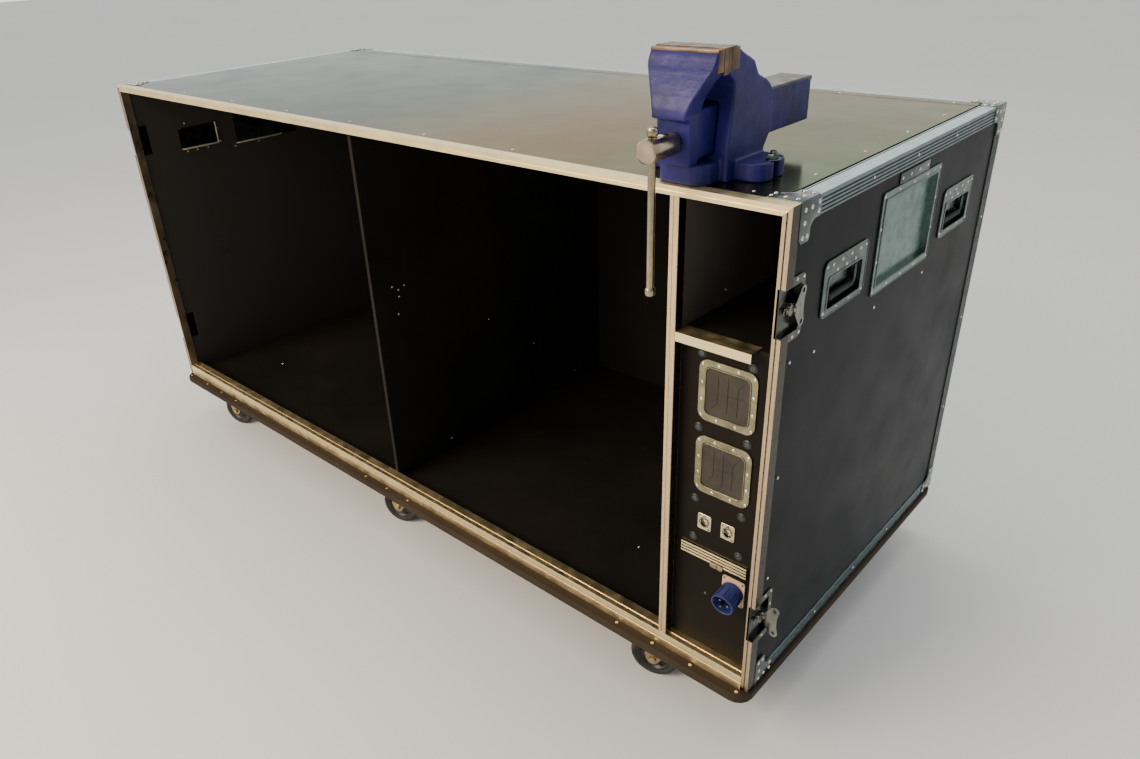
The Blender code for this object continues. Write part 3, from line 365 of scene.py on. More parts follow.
LOOKS = {
    # Side panels: dark teal-black outside; the lighter brown inner colour on their inside faces is painted
    # light.
    "panel": laminate("laminate_panel_inner_painted_light", (0.0020, 0.0046, 0.0042), (0.0036, 0.0066, 0.0062), 0.32,
                      (0.042, 0.037, 0.034)),
    "inside": laminate("laminate_inside", (0.009, 0.008, 0.006), (0.018, 0.0155, 0.0125), 0.44),
    # The divider's tone is lifted far above the other black laminate: painted light for the dim upper
    # compartment.
    "divider": laminate("laminate_divider_painted_light", (0.070, 0.060, 0.052), (0.105, 0.090, 0.078), 0.40),
    "column": laminate("laminate_column", (0.0085, 0.0065, 0.0048), (0.0150, 0.0115, 0.0085), 0.40),
    "dolly": laminate("laminate_dolly", (0.030, 0.021, 0.014), (0.052, 0.038, 0.026), 0.62),
    "sheet": worktop_sheet(),
    # One aluminium in lit and shaded copies: the front rails' bright yellow is painted warm light, the
    # stiles and the divider trim are darker as painted shade, and the last number puts painted shade on
    # faces along X.
    "rail_x": brushed("rail_along_x", "X", (1.00, 0.82, 0.46), (0.82, 0.65, 0.36), 0.40, 0.35),
    "rail_z": brushed("rail_along_z", "Z", (0.62, 0.48, 0.31), (0.40, 0.30, 0.19), 0.26, 0.12),
    "rail_left": brushed("rail_at_left", "Z", (0.62, 0.48, 0.33), (0.40, 0.30, 0.20), 0.34, 1.0),
    "trim_z": brushed("trim_along_z", "Z", (0.84, 0.62, 0.38), (0.60, 0.43, 0.25), 0.26, 0.25),
    # Edge extrusions, one aluminium in lit and shaded copies: the pale teal of those along Y is painted
    # reflection, the dark of the uprights painted shade; the last number adds painted shade on faces along
    # X.
    "edge_x": brushed("edge_along_x", "X", (0.50, 0.56, 0.56), (0.34, 0.39, 0.39)),
    "edge_y": brushed("edge_along_y", "Y", (0.50, 0.66, 0.66), (0.30, 0.38, 0.38), 0.26, 0.5),
    "edge_z": brushed("edge_along_z", "Z", (0.20, 0.23, 0.22), (0.11, 0.13, 0.125), 0.28, 0.6),
    "groove": brushed("groove_shadow", "X", (0.035, 0.040, 0.040), (0.02, 0.022, 0.022), 0.5),
    # Plated dishes, braces and bails: darkened far below bare zinc as painted dark reflection; the card
    # trays' lighter zinc against their dark rims is a lit copy of the same plating.
    "zinc": pressed("zinc_plate", (0.15, 0.185, 0.18), (0.055, 0.070, 0.066), 0.22),
    "latch_zinc": pressed("latch_plate", (0.12, 0.13, 0.12), (0.030, 0.034, 0.030), 0.18),
    "tray": pressed("zinc_tray", (0.20, 0.29, 0.27), (0.12, 0.18, 0.165), 0.26),
    "frame_zinc": pressed("zinc_frame", (0.42, 0.38, 0.24), (0.16, 0.145, 0.09), 0.20),
    "warm_zinc": pressed("passivated_zinc", (0.58, 0.46, 0.28), (0.30, 0.23, 0.14), 0.34),
    "chrome": pressed("bright_plate", (0.34, 0.34, 0.30), (0.12, 0.12, 0.11), 0.12),
    "rivet": pressed("rivet_metal", (0.92, 0.88, 0.76), (0.66, 0.62, 0.52), 0.18),
    "paint": cast_paint(),
    "jaw_steel": machined("jaw_steel", (0.24, 0.16, 0.105), (0.09, 0.06, 0.042), 0.32, "Z"),
    "slide_steel": machined("slide_steel", (0.20, 0.19, 0.15), (0.085, 0.082, 0.066), 0.38, "Y"),
    "bright": machined("bright_steel", (0.62, 0.50, 0.35), (0.32, 0.26, 0.18), 0.20, "Y", 0.06),
    "bar": machined("bar_steel", (0.44, 0.38, 0.26), (0.24, 0.20, 0.135), 0.18, "Z", 0.03),
    "rubber": moulded("black_rubber", (0.010, 0.011, 0.011), (0.024, 0.025, 0.023), 0.50),
    "tyre": moulded("tyre_rubber", (0.014, 0.013, 0.012), (0.050, 0.045, 0.040), 0.66, 300, 0.25),
    "port": moulded("port_rubber", (0.024, 0.018, 0.011), (0.046, 0.034, 0.021), 0.46, 520, 0.20),
    "black": moulded("black_plastic", (0.012, 0.011, 0.010), (0.026, 0.023, 0.020), 0.38),
    "inlet": moulded("inlet_plastic", (0.016, 0.022, 0.110), (0.034, 0.042, 0.170), 0.38, 600, 0.12),
    "cream": moulded("pale_plate", (0.50, 0.33, 0.19), (0.62, 0.44, 0.27), 0.44, 500, 0.10),
    "pale": moulded("bare_edge", (0.50, 0.42, 0.32), (0.66, 0.56, 0.44), 0.40, 500, 0.08),
    "socket": pressed("socket_plate", (0.85, 0.74, 0.46), (0.55, 0.47, 0.28), 0.28),
}


def dress(look, *names):
    """Give CAD nodes one of the looks."""
    for name in names:
        nodes[name].data.materials.clear()
        nodes[name].data.materials.append(LOOKS[look])


def soften(width, segments, *names):
    """Rounded edges on CAD nodes that stay."""
    for name in names:
        edge = nodes[name].modifiers.new("soft_edge", "BEVEL")
        edge.width = width
        edge.segments = segments
        edge.limit_method = "ANGLE"
        edge.angle_limit = math.radians(40)
        edge.use_clamp_overlap = True


# ---------------------------------------------------------------- mesh helpers


def facing(side, place):
    """Matrix whose local Z points out of a side of the case, and local Y up it."""
    across, up, out = (Vector(axis) for axis in FACING[side])
    return Matrix.Translation(place) @ Matrix((across, up, out)).transposed().to_4x4()


def round_box(width, height, radius, steps=5, centre=(0, 0)):
    """Outline of a rectangle with round corners, counter-clockwise."""
    points = []
    for quarter, (sx, sy) in enumerate(((1, 1), (-1, 1), (-1, -1), (1, -1))):
        corner = (centre[0] + sx * (width / 2 - radius), centre[1] + sy * (height / 2 - radius))
        for step in range(steps + 1):
            angle = math.radians(90 * (quarter + step / steps))
            points.append((corner[0] + radius * math.cos(angle), corner[1] + radius * math.sin(angle)))
    return points


def circle(radius, count, height=None):
    """Points round a circle, as (u, v), or as (u, v, height) where a height is given."""
    turns = [2 * math.pi * step / count for step in range(count)]
    points = [(radius * math.cos(turn), radius * math.sin(turn)) for turn in turns]
    return points if height is None else [(u, v, height) for u, v in points]


def middle(node):
    """The middle of a node's box."""
    low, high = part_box(node)
    return (low + high) / 2


def inset(outline, amount):
    """A counter-clockwise outline moved inwards."""
    count = len(outline)
    moved = []
    for i, point in enumerate(outline):
        here = Vector(point)
        before = (here - Vector(outline[i - 1])).normalized()
        after = (Vector(outline[(i + 1) % count]) - here).normalized()
        first, second = Vector((-before.y, before.x)), Vector((-after.y, after.x))
        share = max(0.35, 1 + first.dot(second))
        moved.append(tuple(here + (first + second) * (amount / share)))
    return moved


class Piece:
    """A mesh being made, which ends as one object riding on a CAD body."""

    def __init__(self):
        self.bm = bmesh.new()

    def loft(self, rings, caps=True, around=False, marks=()):
        """Faces between rings; around joins the last to the first; marks are edges given the second look."""
        made = [[self.bm.verts.new(point) for point in ring] for ring in rings]
        pairs = list(zip(made, made[1:] + made[:1])) if around else list(zip(made, made[1:]))
        count = len(made[0])
        for lower, upper in pairs:
            for i in range(count):
                k = (i + 1) % count
                face = self.bm.faces.new((lower[i], lower[k], upper[k], upper[i]))
                face.material_index = int(i in marks)
        if caps and not around:
            self.bm.faces.new(list(reversed(made[0])))
            self.bm.faces.new(made[-1])

    def turned(self, profile, place, steps=20):
        """A profile of (radius, height), turned about the local Z axis; a radius of 0 closes an end."""
        rings = []
        for radius, height in profile:
            if radius == 0:
                rings.append([self.bm.verts.new(place @ Vector((0, 0, height)))])
                continue
            ring = circle(radius, steps, height)
            rings.append([self.bm.verts.new(place @ Vector(point)) for point in ring])
        for lower, upper in zip(rings, rings[1:]):
            for i in range(steps):
                k = (i + 1) % steps
                corners = [lower[i % len(lower)], lower[k % len(lower)], upper[k % len(upper)],
                           upper[i % len(upper)]]
                self.bm.faces.new(list(dict.fromkeys(corners)))
        for ring in (rings[0], rings[-1]):
            if len(ring) > 1:
                self.bm.faces.new(ring)

    def prism(self, outline, low, high, place, bevel=0.0):
        """An outline extruded along local Z, with its rims bevelled."""
        levels = [(0, low), (0, high)]
        if bevel:
            levels = [(bevel, low), (0, low + bevel), (0, high - bevel), (bevel * 0.3, high - bevel * 0.3),
                      (bevel, high)]
        rings = []
        for amount, height in levels:
            points = inset(outline, amount) if amount else outline
            rings.append([place @ Vector((u, v, height)) for u, v in points])
        self.loft(rings)

    def collar(self, outer, inner, low, high, place, bevel=0.0004):
        """A flat frame between two outlines of the same number of points."""
        levels = [
            (outer, low),
            (outer, high - bevel),
            (inset(outer, bevel), high),
            (inset(inner, -bevel), high),
            (inner, high - bevel),
            (inner, low),
        ]
        self.loft([[place @ Vector((u, v, height)) for u, v in points] for points, height in levels],
                  around=True)

    def rivet(self, place, size=RIVET, steps=14):
        """A domed head with the small dent of its mandrel."""
        radius, height = size
        profile = [
            (0, 0.55 * height),
            (0.24 * radius, 0.60 * height),
            (0.34 * radius, height),
            (0.66 * radius, 0.86 * height),
            (0.90 * radius, 0.48 * height),
            (radius, 0.06 * height),
            (radius, -0.0003),
        ]
        self.turned(profile, place, steps)

    def screw(self, place, radius=0.0036, height=0.0015):
        """A pan head with a cross recess."""
        profile = [(0, height), (0.5 * radius, 0.95 * height), (0.85 * radius, 0.6 * height), (radius, 0),
                   (radius, -0.0003)]
        self.turned(profile, place, 16)

    def tube(self, path, radius, steps=10, closed=False):
        """A round tube through points, with a frame carried along them."""
        rings = []
        count = len(path)
        path = [Vector(point) for point in path]
        side = None
        round_points = circle(radius, steps)
        for i, point in enumerate(path):
            before = path[i - 1] if closed or i else point
            after = path[(i + 1) % count] if closed or i + 1 < count else point
            along = (after - before).normalized()
            if side is None:
                side = along.orthogonal().normalized()
            side = (side - along * side.dot(along)).normalized()
            other = along.cross(side)
            rings.append([point + u * side + v * other for u, v in round_points])
        self.loft(rings, around=closed)

    def done(self, name, look, body="case", slot=None, sharp=35, second=None):
        bmesh.ops.recalc_face_normals(self.bm, faces=self.bm.faces)
        mesh = bpy.data.meshes.new(name)
        self.bm.to_mesh(mesh)
        self.bm.free()
        mesh.shade_smooth()
        mesh.set_sharp_from_angle(angle=math.radians(sharp))
        mesh.materials.append(LOOKS[look])
        if second:
            mesh.materials.append(LOOKS[second])
        made = bpy.data.objects.new(name, mesh)
        scene.collection.objects.link(made)
        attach(made, body)
        return made


def body_of(node):
    return nodes[node]["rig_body"]


# ---------------------------------------------------------------- case extrusions


def angle_section():
    """Section of the edge extrusion as distances in from its two faces, and its groove edges."""
    wall = 0.0019
    plain, _ = grooved_leg((0.0262,))
    ribbed, marks = grooved_leg((0.0078, 0.0136, 0.0194, 0.0252))
    other = [(b, a) for a, b in reversed(ribbed)]
    return other + [(0.0004, 0.0004)] + plain + [(wall, wall)], {len(ribbed) - 2 - mark for mark in marks}


def grooved_leg(grooves):
    """One leg of the angle as (along, in from its face), and the edges that lie in a groove."""
    half, depth = 0.0013, 0.0010
    leg, marks = [(0.0012, 0.0)], []
    for groove in grooves:
        marks += [len(leg), len(leg) + 1, len(leg) + 2]
        leg += [(groove - half, 0.0), (groove - half * 0.5, depth), (groove + half * 0.5, depth),
                (groove + half, 0.0)]
    return leg + [(EDGE_LEG - 0.0008, 0.0), (EDGE_LEG, 0.0008), (EDGE_LEG, 0.0019)], marks


def edge_extrusion(piece, start, end, in_a, in_b, mitred):
    """One angle extrusion along the case's outer edge from start to end."""
    start, end, in_a, in_b = Vector(start), Vector(end), Vector(in_a), Vector(in_b)
    along = (end - start).normalized()
    section, marks = angle_section()
    rings = []
    for point, sign, cut in ((start, 1, mitred[0]), (end, -1, mitred[1])):
        ring = []
        for a, b in section:
            back = max(a, b) + 0.00015 if cut else 0
            ring.append(point + a * in_a + b * in_b + sign * back * along)
        rings.append(ring)
    piece.loft(rings, marks=marks)


def build_edge_extrusions():
    """Grooved angles that stand for the plain CAD shell, one object for each direction they run in."""
    for direction in "XYZ":
        piece = Piece()
        if direction == "Y":
            for x, in_x in ((LEFT, 1), (RIGHT, -1)):
                for z, in_z in ((BOTTOM, 1), (TOP, -1)):
                    edge_extrusion(piece, (x, RAIL_BACK, z), (x, BACK, z), (in_x, 0, 0), (0, 0, in_z),
                                   (False, True))
        if direction == "X":
            for z, in_z in ((BOTTOM, 1), (TOP, -1)):
                edge_extrusion(piece, (LEFT, BACK, z), (RIGHT, BACK, z), (0, -1, 0), (0, 0, in_z),
                               (True, True))
        if direction == "Z":
            for x, in_x in ((LEFT, 1), (RIGHT, -1)):
                edge_extrusion(piece, (x, BACK, BOTTOM), (x, BACK, TOP), (in_x, 0, 0), (0, -1, 0),
                               (True, True))
        name = "edge_extrusions_" + direction.lower()
        piece.done(name, "edge_" + direction.lower(), slot="aluminium", sharp=20,
                                     second="groove")
    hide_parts("edge_extrusions")


def brace_outline(reach, width, hollow, across, up):
    """An L-shaped corner plate with a concave inner corner; across and up are the signs it runs in."""
    points = [(0, 0), (reach - 0.006, 0), (reach, 0.006), (reach, width - 0.004), (reach - 0.004, width)]
    for step in range(7):
        angle = math.radians(270 - 90 * step / 6)
        points.append((width + hollow + hollow * math.cos(angle),
                       width + hollow + hollow * math.sin(angle)))
    points += [(width, reach - 0.004), (width - 0.004, reach), (0.006, reach), (0, reach - 0.006)]
    turned = [(across * u, up * v) for u, v in points]
    return turned if across * up > 0 else list(reversed(turned))


def build_corner_braces():
    """Riveted plates over the corners of the side, top and back faces."""
    plates, rivets = Piece(), Piece()
    reach, width, hollow = 0.058, 0.0300, 0.014
    spots = [(0.050, 0.009), (0.050, 0.022), (0.030, 0.012), (0.012, 0.030), (0.009, 0.050), (0.022, 0.050),
             (0.012, 0.012)]
    corners = []
    for side, x in (("left", LEFT), ("right", RIGHT)):
        for z, up in ((BOTTOM, 1), (TOP, -1)):
            inward = 1 if side == "right" else -1
            corners.append((side, Vector((x, BACK, z)), -inward, up))
            corners.append((side, Vector((x, RAIL_BACK, z)), inward, up))
    for x, across in ((LEFT, 1), (RIGHT, -1)):
        corners.append(("top", Vector((x, BACK, TOP)), across, -1))
        corners.append(("top", Vector((x, RAIL_BACK, TOP)), across, 1))
        for z, up in ((BOTTOM, 1), (TOP, -1)):
            corners.append(("back", Vector((x, BACK, z)), -across, up))
    for side, corner, across, up in corners:
        place = facing(side, corner)
        plates.prism(brace_outline(reach, width, hollow, across, up), -0.0006, PLATE, place, 0.0005)
        for u, v in spots:
            rivets.rivet(place @ Matrix.Translation((across * u, up * v, PLATE)))
    plates.done("corner_braces", "zinc", slot="aluminium")
    rivets.done("corner_brace_rivets", "rivet", slot="zinc_steel")


def build_edge_rivets():
    """Pairs of rivets along the extrusions of the side, top and back faces."""
    piece = Piece()
    offsets = (0.0045, 0.0270)
    for side, x in (("left", LEFT), ("right", RIGHT)):
        span = BACK - FRONT
        for share in (0.30, 0.50, 0.70):
            for z, up in ((BOTTOM, 1), (TOP, -1)):
                place = facing(side, (x, FRONT + span * share, z + up * offsets[1]))
                piece.rivet(place @ Matrix.Translation((0, -up * 0.0112, 0)), SMALL_RIVET)
        for share in (0.25, 0.50, 0.75):
            z = BOTTOM + (TOP - BOTTOM) * share
            piece.rivet(facing(side, (x, BACK - EDGE_MIDDLE, z)), SMALL_RIVET)
    for step in range(7):
        x = LEFT + (RIGHT - LEFT) * (step + 1) / 8
        for z, up in ((BOTTOM, 1), (TOP, -1)):
            piece.rivet(facing("back", (x, BACK, z + up * EDGE_MIDDLE)), SMALL_RIVET)
        piece.rivet(facing("top", (x, BACK - EDGE_MIDDLE, TOP)), SMALL_RIVET)
    piece.done("edge_rivets", "rivet", slot="zinc_steel")


def build_worktop_trim():
    """Rivets round the sheet, the folded seam along its back and the black joint at its ends."""
    rivets, seam, joint = Piece(), Piece(), Piece()
    sheet_low = Vector((LEFT + EDGE_LEG, FRONT + 0.0226, TOP))
    sheet_high = Vector((RIGHT - EDGE_LEG, BACK - EDGE_LEG, TOP))
    for step in range(9):
        x = sheet_low.x + 0.05 + (sheet_high.x - sheet_low.x - 0.1) * step / 8
        for y in (sheet_low.y + 0.016, sheet_high.y - 0.018):
            near_vise = abs(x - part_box("vise_body")[0].x) < 0.05 and y < MIDDLE_Y
            if not near_vise:
                rivets.rivet(facing("top", (x, y, TOP)), SMALL_RIVET)
    for step in range(4):
        y = sheet_low.y + 0.14 + (sheet_high.y - sheet_low.y - 0.28) * step / 3
        for x in (sheet_low.x + 0.022, sheet_high.x - 0.022):
            rivets.rivet(facing("top", (x, y, TOP)), SMALL_RIVET)
    fold_y = BACK - 0.062
    length = sheet_high.x - sheet_low.x - 0.012
    seam.prism(round_box(length, 0.0022, 0.0008, 2), -0.0004, 0.0004, facing("top", (0, fold_y, TOP)),
               0.0002)
    for x in (sheet_low.x - 0.0022, sheet_high.x + 0.0022):
        depth = sheet_high.y - sheet_low.y
        place = facing("top", (x, (sheet_low.y + sheet_high.y) / 2, TOP - 0.0008))
        joint.prism(round_box(0.0038, depth, 0.0012, 2), -0.0008, 0.0004, place, 0.0002)
    rivets.done("worktop_rivets", "rivet", slot="zinc_steel")
    seam.done("worktop_seam", "slide_steel", slot="worktop_metal")
    joint.done("worktop_joint", "rubber", slot="handle_rubber")


# ---------------------------------------------------------------- service column


def channel_section(width, depth, wall):
    """A U-shaped trim seen end on: local X across the panel's edge, local Y back along its sides."""
    half = width / 2
    return [
        (-half, depth),
        (-half, 0.0006),
        (-half + 0.0006, 0),
        (-0.0016, 0),
        (-0.0012, 0.0006),
        (0.0012, 0.0006),
        (0.0016, 0),
        (half - 0.0006, 0),
        (half, 0.0006),
        (half, depth),
        (half - wall, depth),
        (half - wall, wall),
        (-half + wall, wall),
        (-half + wall, depth),
    ]


def build_divider_trim():
    """The aluminium channel over the divider's front edge."""
    low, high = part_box("column_divider")
    sill_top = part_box("front_sill")[1].z
    piece = Piece()
    centre = Vector(((low.x + high.x) / 2, FRONT + 0.0004, 0))
    wall = (0.0162 - (high.x - low.x)) / 2 - 0.0002
    section = channel_section(0.0162, 0.018, wall)
    rings = []
    for z in (sill_top + 0.0004, TOP - 0.0144):
        rings.append([Vector((centre.x + u, centre.y + v, z)) for u, v in section])
    piece.loft(rings)
    piece.done("divider_trim", "trim_z", slot="aluminium", sharp=25)


def build_ledge():
    """The aluminium angle on the shelf's front edge, which stops short of the stile."""
    shelf_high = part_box("column_shelf")[1]
    piece = Piece()
    top_z, face = shelf_high.z + 0.0012, 0.0150
    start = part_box("column_divider")[1].x + 0.0024
    end = start + 0.1315
    section = [
        (FRONT + 0.0002, top_z - face),
        (FRONT + 0.0018, top_z - face),
        (FRONT + 0.0018, top_z - 0.0016),
        (FRONT + 0.0210, top_z - 0.0016),
        (FRONT + 0.0320, shelf_high.z + 0.0002),
        (FRONT + 0.0320, top_z),
        (FRONT + 0.0008, top_z),
        (FRONT + 0.0002, top_z - 0.0006),
    ]
    piece.loft([[Vector((x, y, z)) for y, z in section] for x in (start, end)])
    piece.done("shelf_ledge", "rail_x", slot="aluminium", sharp=25)


def build_strip():
    """The ribbed aluminium strip across the column, its screws and the clamp under it."""
    rack_low, rack_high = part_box("rack_panel")
    z_low, z_high = rack_low.z, rack_low.z + 0.024
    left, right = rack_low.x + 0.016, rack_high.x - 0.020
    depth = 0.0042
    profile, marks = [(z_low, 0)], []
    ribs = 4
    width = (z_high - z_low) / ribs
    for rib in range(ribs):
        start = z_low + width * rib
        marks += [len(profile) + 1, len(profile) + 2, len(profile) + 3]
        profile += [(start + 0.0004, depth), (start + width - 0.0022, depth),
                    (start + width - 0.0018, depth - 0.0020),
                    (start + width - 0.0002, depth - 0.0020)]
    profile += [(z_high - 0.0001, 0.0022), (z_high, 0)]
    piece = Piece()
    piece.loft([[Vector((x, COLUMN_Y - 0.0001 - out, z)) for z, out in profile] for x in (left, right)],
               marks=marks)
    piece.done("column_strip", "rail_x", slot="aluminium", sharp=20, second="groove")
    screws = Piece()
    for x in (left + 0.020, right - 0.024):
        for shift in (-0.003, 0.003):
            place = facing("front", (x + shift, COLUMN_Y - depth, (z_low + z_high) / 2))
            screws.screw(place, 0.0016, 0.0006)
    screws.done("column_strip_screws", "black", slot="handle_rubber")
    clamp = Piece()
    place = facing("front", (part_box("power_inlet")[0].x - 0.012, COLUMN_Y, z_low - 0.001))
    clamp.prism(round_box(0.026, 0.011, 0.0045, 5), 0, 0.006, place, 0.0012)
    clamp.turned([(0, 0.0085), (0.0022, 0.0083), (0.0030, 0.0070), (0.0030, 0.004)], place, 16)
    clamp.done("strip_clamp", "warm_zinc", slot="zinc_steel")


def build_ports():
    """Two cable ports: a riveted two-part frame over a rubber insert with three shaped slits."""
    for name in ("upper", "lower"):
        node = "cable_port_" + name
        low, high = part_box(node)
        width, height = high.x - low.x, high.z - low.z
        face = low.y
        centre = Vector(((low.x + high.x) / 2, face, (low.z + high.z) / 2))
        place = facing("front", centre)
        outer = round_box(width, height, 0.017, 7)
        inner = round_box(width - 0.021, height - 0.022, 0.012, 7)
        plate = Piece()
        plate.collar(outer, inner, -0.0012, 0.0008, place, 0.0005)
        lip_outer = round_box(width - 0.0210, height - 0.0220, 0.012, 7)
        lip_inner = round_box(width - 0.0255, height - 0.0265, 0.010, 7)
        plate.collar(lip_outer, lip_inner, -0.0012, 0.0022, place, 0.0007)
        for across in (-1, 1):
            tab = place @ Matrix.Translation((across * (width / 2 - 0.0066), 0.0065 * across, 0))
            plate.prism(round_box(0.0122, 0.0016, 0.0005, 2), 0.0004, 0.0013, tab, 0.0002)
        plate.done("port_frame_" + name, "frame_zinc", slot="zinc_steel")
        rivets = Piece()
        for across in (-1, 1):
            for share in (-0.42, -0.16, 0.12, 0.41):
                spot = place @ Matrix.Translation((across * (width / 2 - 0.0062), share * height, 0.0006))
                rivets.rivet(spot, (0.0031, 0.0013))
        for up in (-1, 1):
            for share in (-0.16, 0.17):
                spot = place @ Matrix.Translation((share * width, up * (height / 2 - 0.0062), 0.0006))
                rivets.rivet(spot, (0.0031, 0.0013))
        rivets.done("port_rivets_" + name, "rivet", slot="zinc_steel")
        build_port_insert(name, node, place, width, height)


def build_port_insert(name, node, place, width, height):
    """The dished rubber insert, split by a straight middle slit and two that turn outwards."""
    insert = Piece()
    half_w, half_h = (width - 0.023) / 2, (height - 0.024) / 2
    rings = []
    for shrink, depth in ((0.0, -0.014), (0.0, -0.0008), (0.0014, 0.0002), (0.006, -0.0006),
                          (0.016, -0.0013)):
        outline = round_box(2 * (half_w - shrink), 2 * (half_h - shrink), max(0.011 - shrink * 0.4, 0.004),
                            7)
        rings.append([place @ Vector((u, v, depth)) for u, v in outline])
    insert.loft(rings)
    made = insert.done("port_insert_" + name, "port", slot="port_insert")
    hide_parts(node)
    slits = Piece()
    reach = half_h * 0.74
    bend = 0.011
    left = [(-0.0175 - bend, -reach), (-0.0175, -reach + bend * 1.3), (-0.0175, reach)]
    right = [(-u, -v) for u, v in left]
    for path in (left, [(0, -reach), (0, reach)], right):
        points = [place @ Vector((u, v, -0.0011)) for u, v in path]
        slits.tube(points, 0.00055, 6)
    cross = [place @ Vector((sign * half_w * 0.80, sign * 0.0025, -0.0012)) for sign in (-1, 1)]
    slits.tube(cross, 0.00030, 6)
    slits.done("port_slits_" + name, "black", slot="port_insert")


def build_data_sockets():
    """Two panel sockets: a notched flange, a ring, a keyed insert and two diagonal screws."""
    rack_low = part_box("rack_panel")[0]
    height = rack_low.z + 0.077
    for side, x in (("left", 0.882), ("right", 0.927)):
        place = facing("front", (x, COLUMN_Y, height))
        flange = Piece()
        outer = round_box(0.026, 0.031, 0.0026, 5)
        hole = [(0.0100 * math.cos(a), 0.0100 * math.sin(a)) for a in round_angles(outer)]
        flange.collar(outer, hole, 0.0001, 0.0021, place, 0.0005)
        flange.done("data_socket_flange_" + side, "socket", slot="zinc_steel")
        ring = Piece()
        ring.turned([(0.0099, -0.009), (0.0099, 0.0030), (0.0092, 0.0034), (0.0080, 0.0030),
                     (0.0078, -0.009)], place, 32)
        ring.done("data_socket_ring_" + side, "chrome", slot="zinc_steel")
        core = Piece()
        core.turned([(0, -0.004), (0.0030, -0.004), (0.0034, -0.0052), (0.0077, -0.0056), (0.0077, -0.009)],
                    place, 28)
        core.prism(round_box(0.0085, 0.0065, 0.0012, 3), -0.0056, -0.0012, place, 0.0005)
        core.done("data_socket_core_" + side, "socket", slot="handle_rubber")
        latch = Piece()
        latch.prism(round_box(0.0050, 0.0034, 0.0010, 3), 0.0020, 0.0036,
                    place @ Matrix.Translation((0, 0.0118, 0)), 0.0005)
        latch.screw(place @ Matrix.Translation((-0.0092, 0.0118, 0.0020)), 0.0022, 0.0009)
        latch.screw(place @ Matrix.Translation((0.0092, -0.0118, 0.0020)), 0.0022, 0.0009)
        latch.done("data_socket_screws_" + side, "chrome", slot="zinc_steel")


def round_angles(outline):
    """The direction of each point of an outline round its middle."""
    return [math.atan2(v, u) for u, v in outline]


def build_column_screws():
    """Cup washers and screws that hold the rack panel, and the small screws near the inlet."""
    rack_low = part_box("rack_panel")[0]
    washers, screws = Piece(), Piece()
    spots = []
    for height in (0.485, 0.346, 0.266, 0.617):
        lower = BOTTOM + height
        spots += [(rack_low.x + 0.0375, lower), (rack_low.x + 0.1265, lower)]
    for x, z in spots:
        place = facing("front", (x, COLUMN_Y, z))
        washers.turned([(0.0046, 0.0018), (0.0060, 0.0022), (0.0082, 0.0008), (0.0084, -0.0003),
                        (0.0046, -0.0003)], place, 26)
        screws.turned([(0, 0.0012), (0.0010, 0.0012), (0.0014, 0.0022), (0.0036, 0.0020), (0.0046, 0.0010),
                       (0.0046, -0.0002)],
                      place, 18)
    for x, z in ((0.931, 0.208), (0.891, 0.154), (0.958, 0.172)):
        screws.screw(facing("front", (x, COLUMN_Y, BOTTOM + z)), 0.0030, 0.0013)
    washers.done("column_cup_washers", "black", slot="handle_rubber")
    screws.done("column_screws", "zinc", slot="zinc_steel")


def build_inlet():
    """The blue inlet: ribbed shroud with a rim, keyway and three pins, on a pale flange plate."""
    low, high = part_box("power_inlet")
    centre = Vector(((low.x + high.x) / 2, COLUMN_Y - 0.0003, BOTTOM + 0.190))
    tilt = math.radians(10)
    axis = Vector((0, -math.cos(tilt), -math.sin(tilt)))
    flange = Piece()
    place = facing("front", centre)
    flange.prism(round_box(0.0436, 0.0536, 0.005, 5), 0.0, 0.0032, place, 0.0008)
    flange.done("inlet_flange", "cream", slot="inlet_blue")
    turn = axis.to_track_quat("Z", "X").to_matrix().to_4x4()
    along = Matrix.Translation(centre) @ turn
    reach = 0.0380
    shroud = Piece()
    profile = [
        (0.0, 0.008),
        (0.0178, 0.008),
        (0.0182, 0.0095),
        (0.0182, reach - 0.0008),
        (0.0188, reach),
        (0.0204, reach),
        (0.0209, reach - 0.0010),
        (0.0209, reach - 0.0052),
        (0.0200, reach - 0.0064),
        (0.0200, 0.014),
        (0.0206, 0.011),
        (0.0206, 0.002),
        (0.0, 0.002),
    ]
    shroud.turned(profile, along, 48)
    for step in range(10):
        spoke = along @ Matrix.Rotation(2 * math.pi * step / 10, 4,
                                        "Z") @ Matrix.Translation((0.0202, 0, 0))
        shroud.prism(round_box(0.0016, 0.0022, 0.0006, 2), 0.012, reach - 0.006, spoke, 0.0003)
    key = along @ Matrix.Translation((0, 0.0172, 0))
    shroud.prism(round_box(0.0046, 0.0026, 0.0006, 2), 0.010, reach - 0.003, key, 0.0004)
    made = shroud.done("inlet_shroud", "inlet", slot="inlet_blue")
    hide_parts("power_inlet")
    pins, screws = Piece(), Piece()
    for angle, radius in ((150, 0.0024), (30, 0.0024), (270, 0.0030)):
        spot = along @ Matrix.Rotation(math.radians(angle), 4, "Z") @ Matrix.Translation((0.0095, 0, 0))
        pins.turned([(radius, 0.0075), (radius, 0.0345), (radius * 0.7, 0.0358), (0, 0.0361)], spot, 18)
    pins.done("inlet_pins", "chrome", slot="bright_steel")
    for across, up in ((-1, 1), (1, 1), (-1, -1), (1, -1)):
        spot = place @ Matrix.Translation((across * 0.0176, up * 0.0226, 0.0032))
        screws.screw(spot, 0.0020, 0.0008)
    screws.done("inlet_screws", "zinc", slot="zinc_steel")


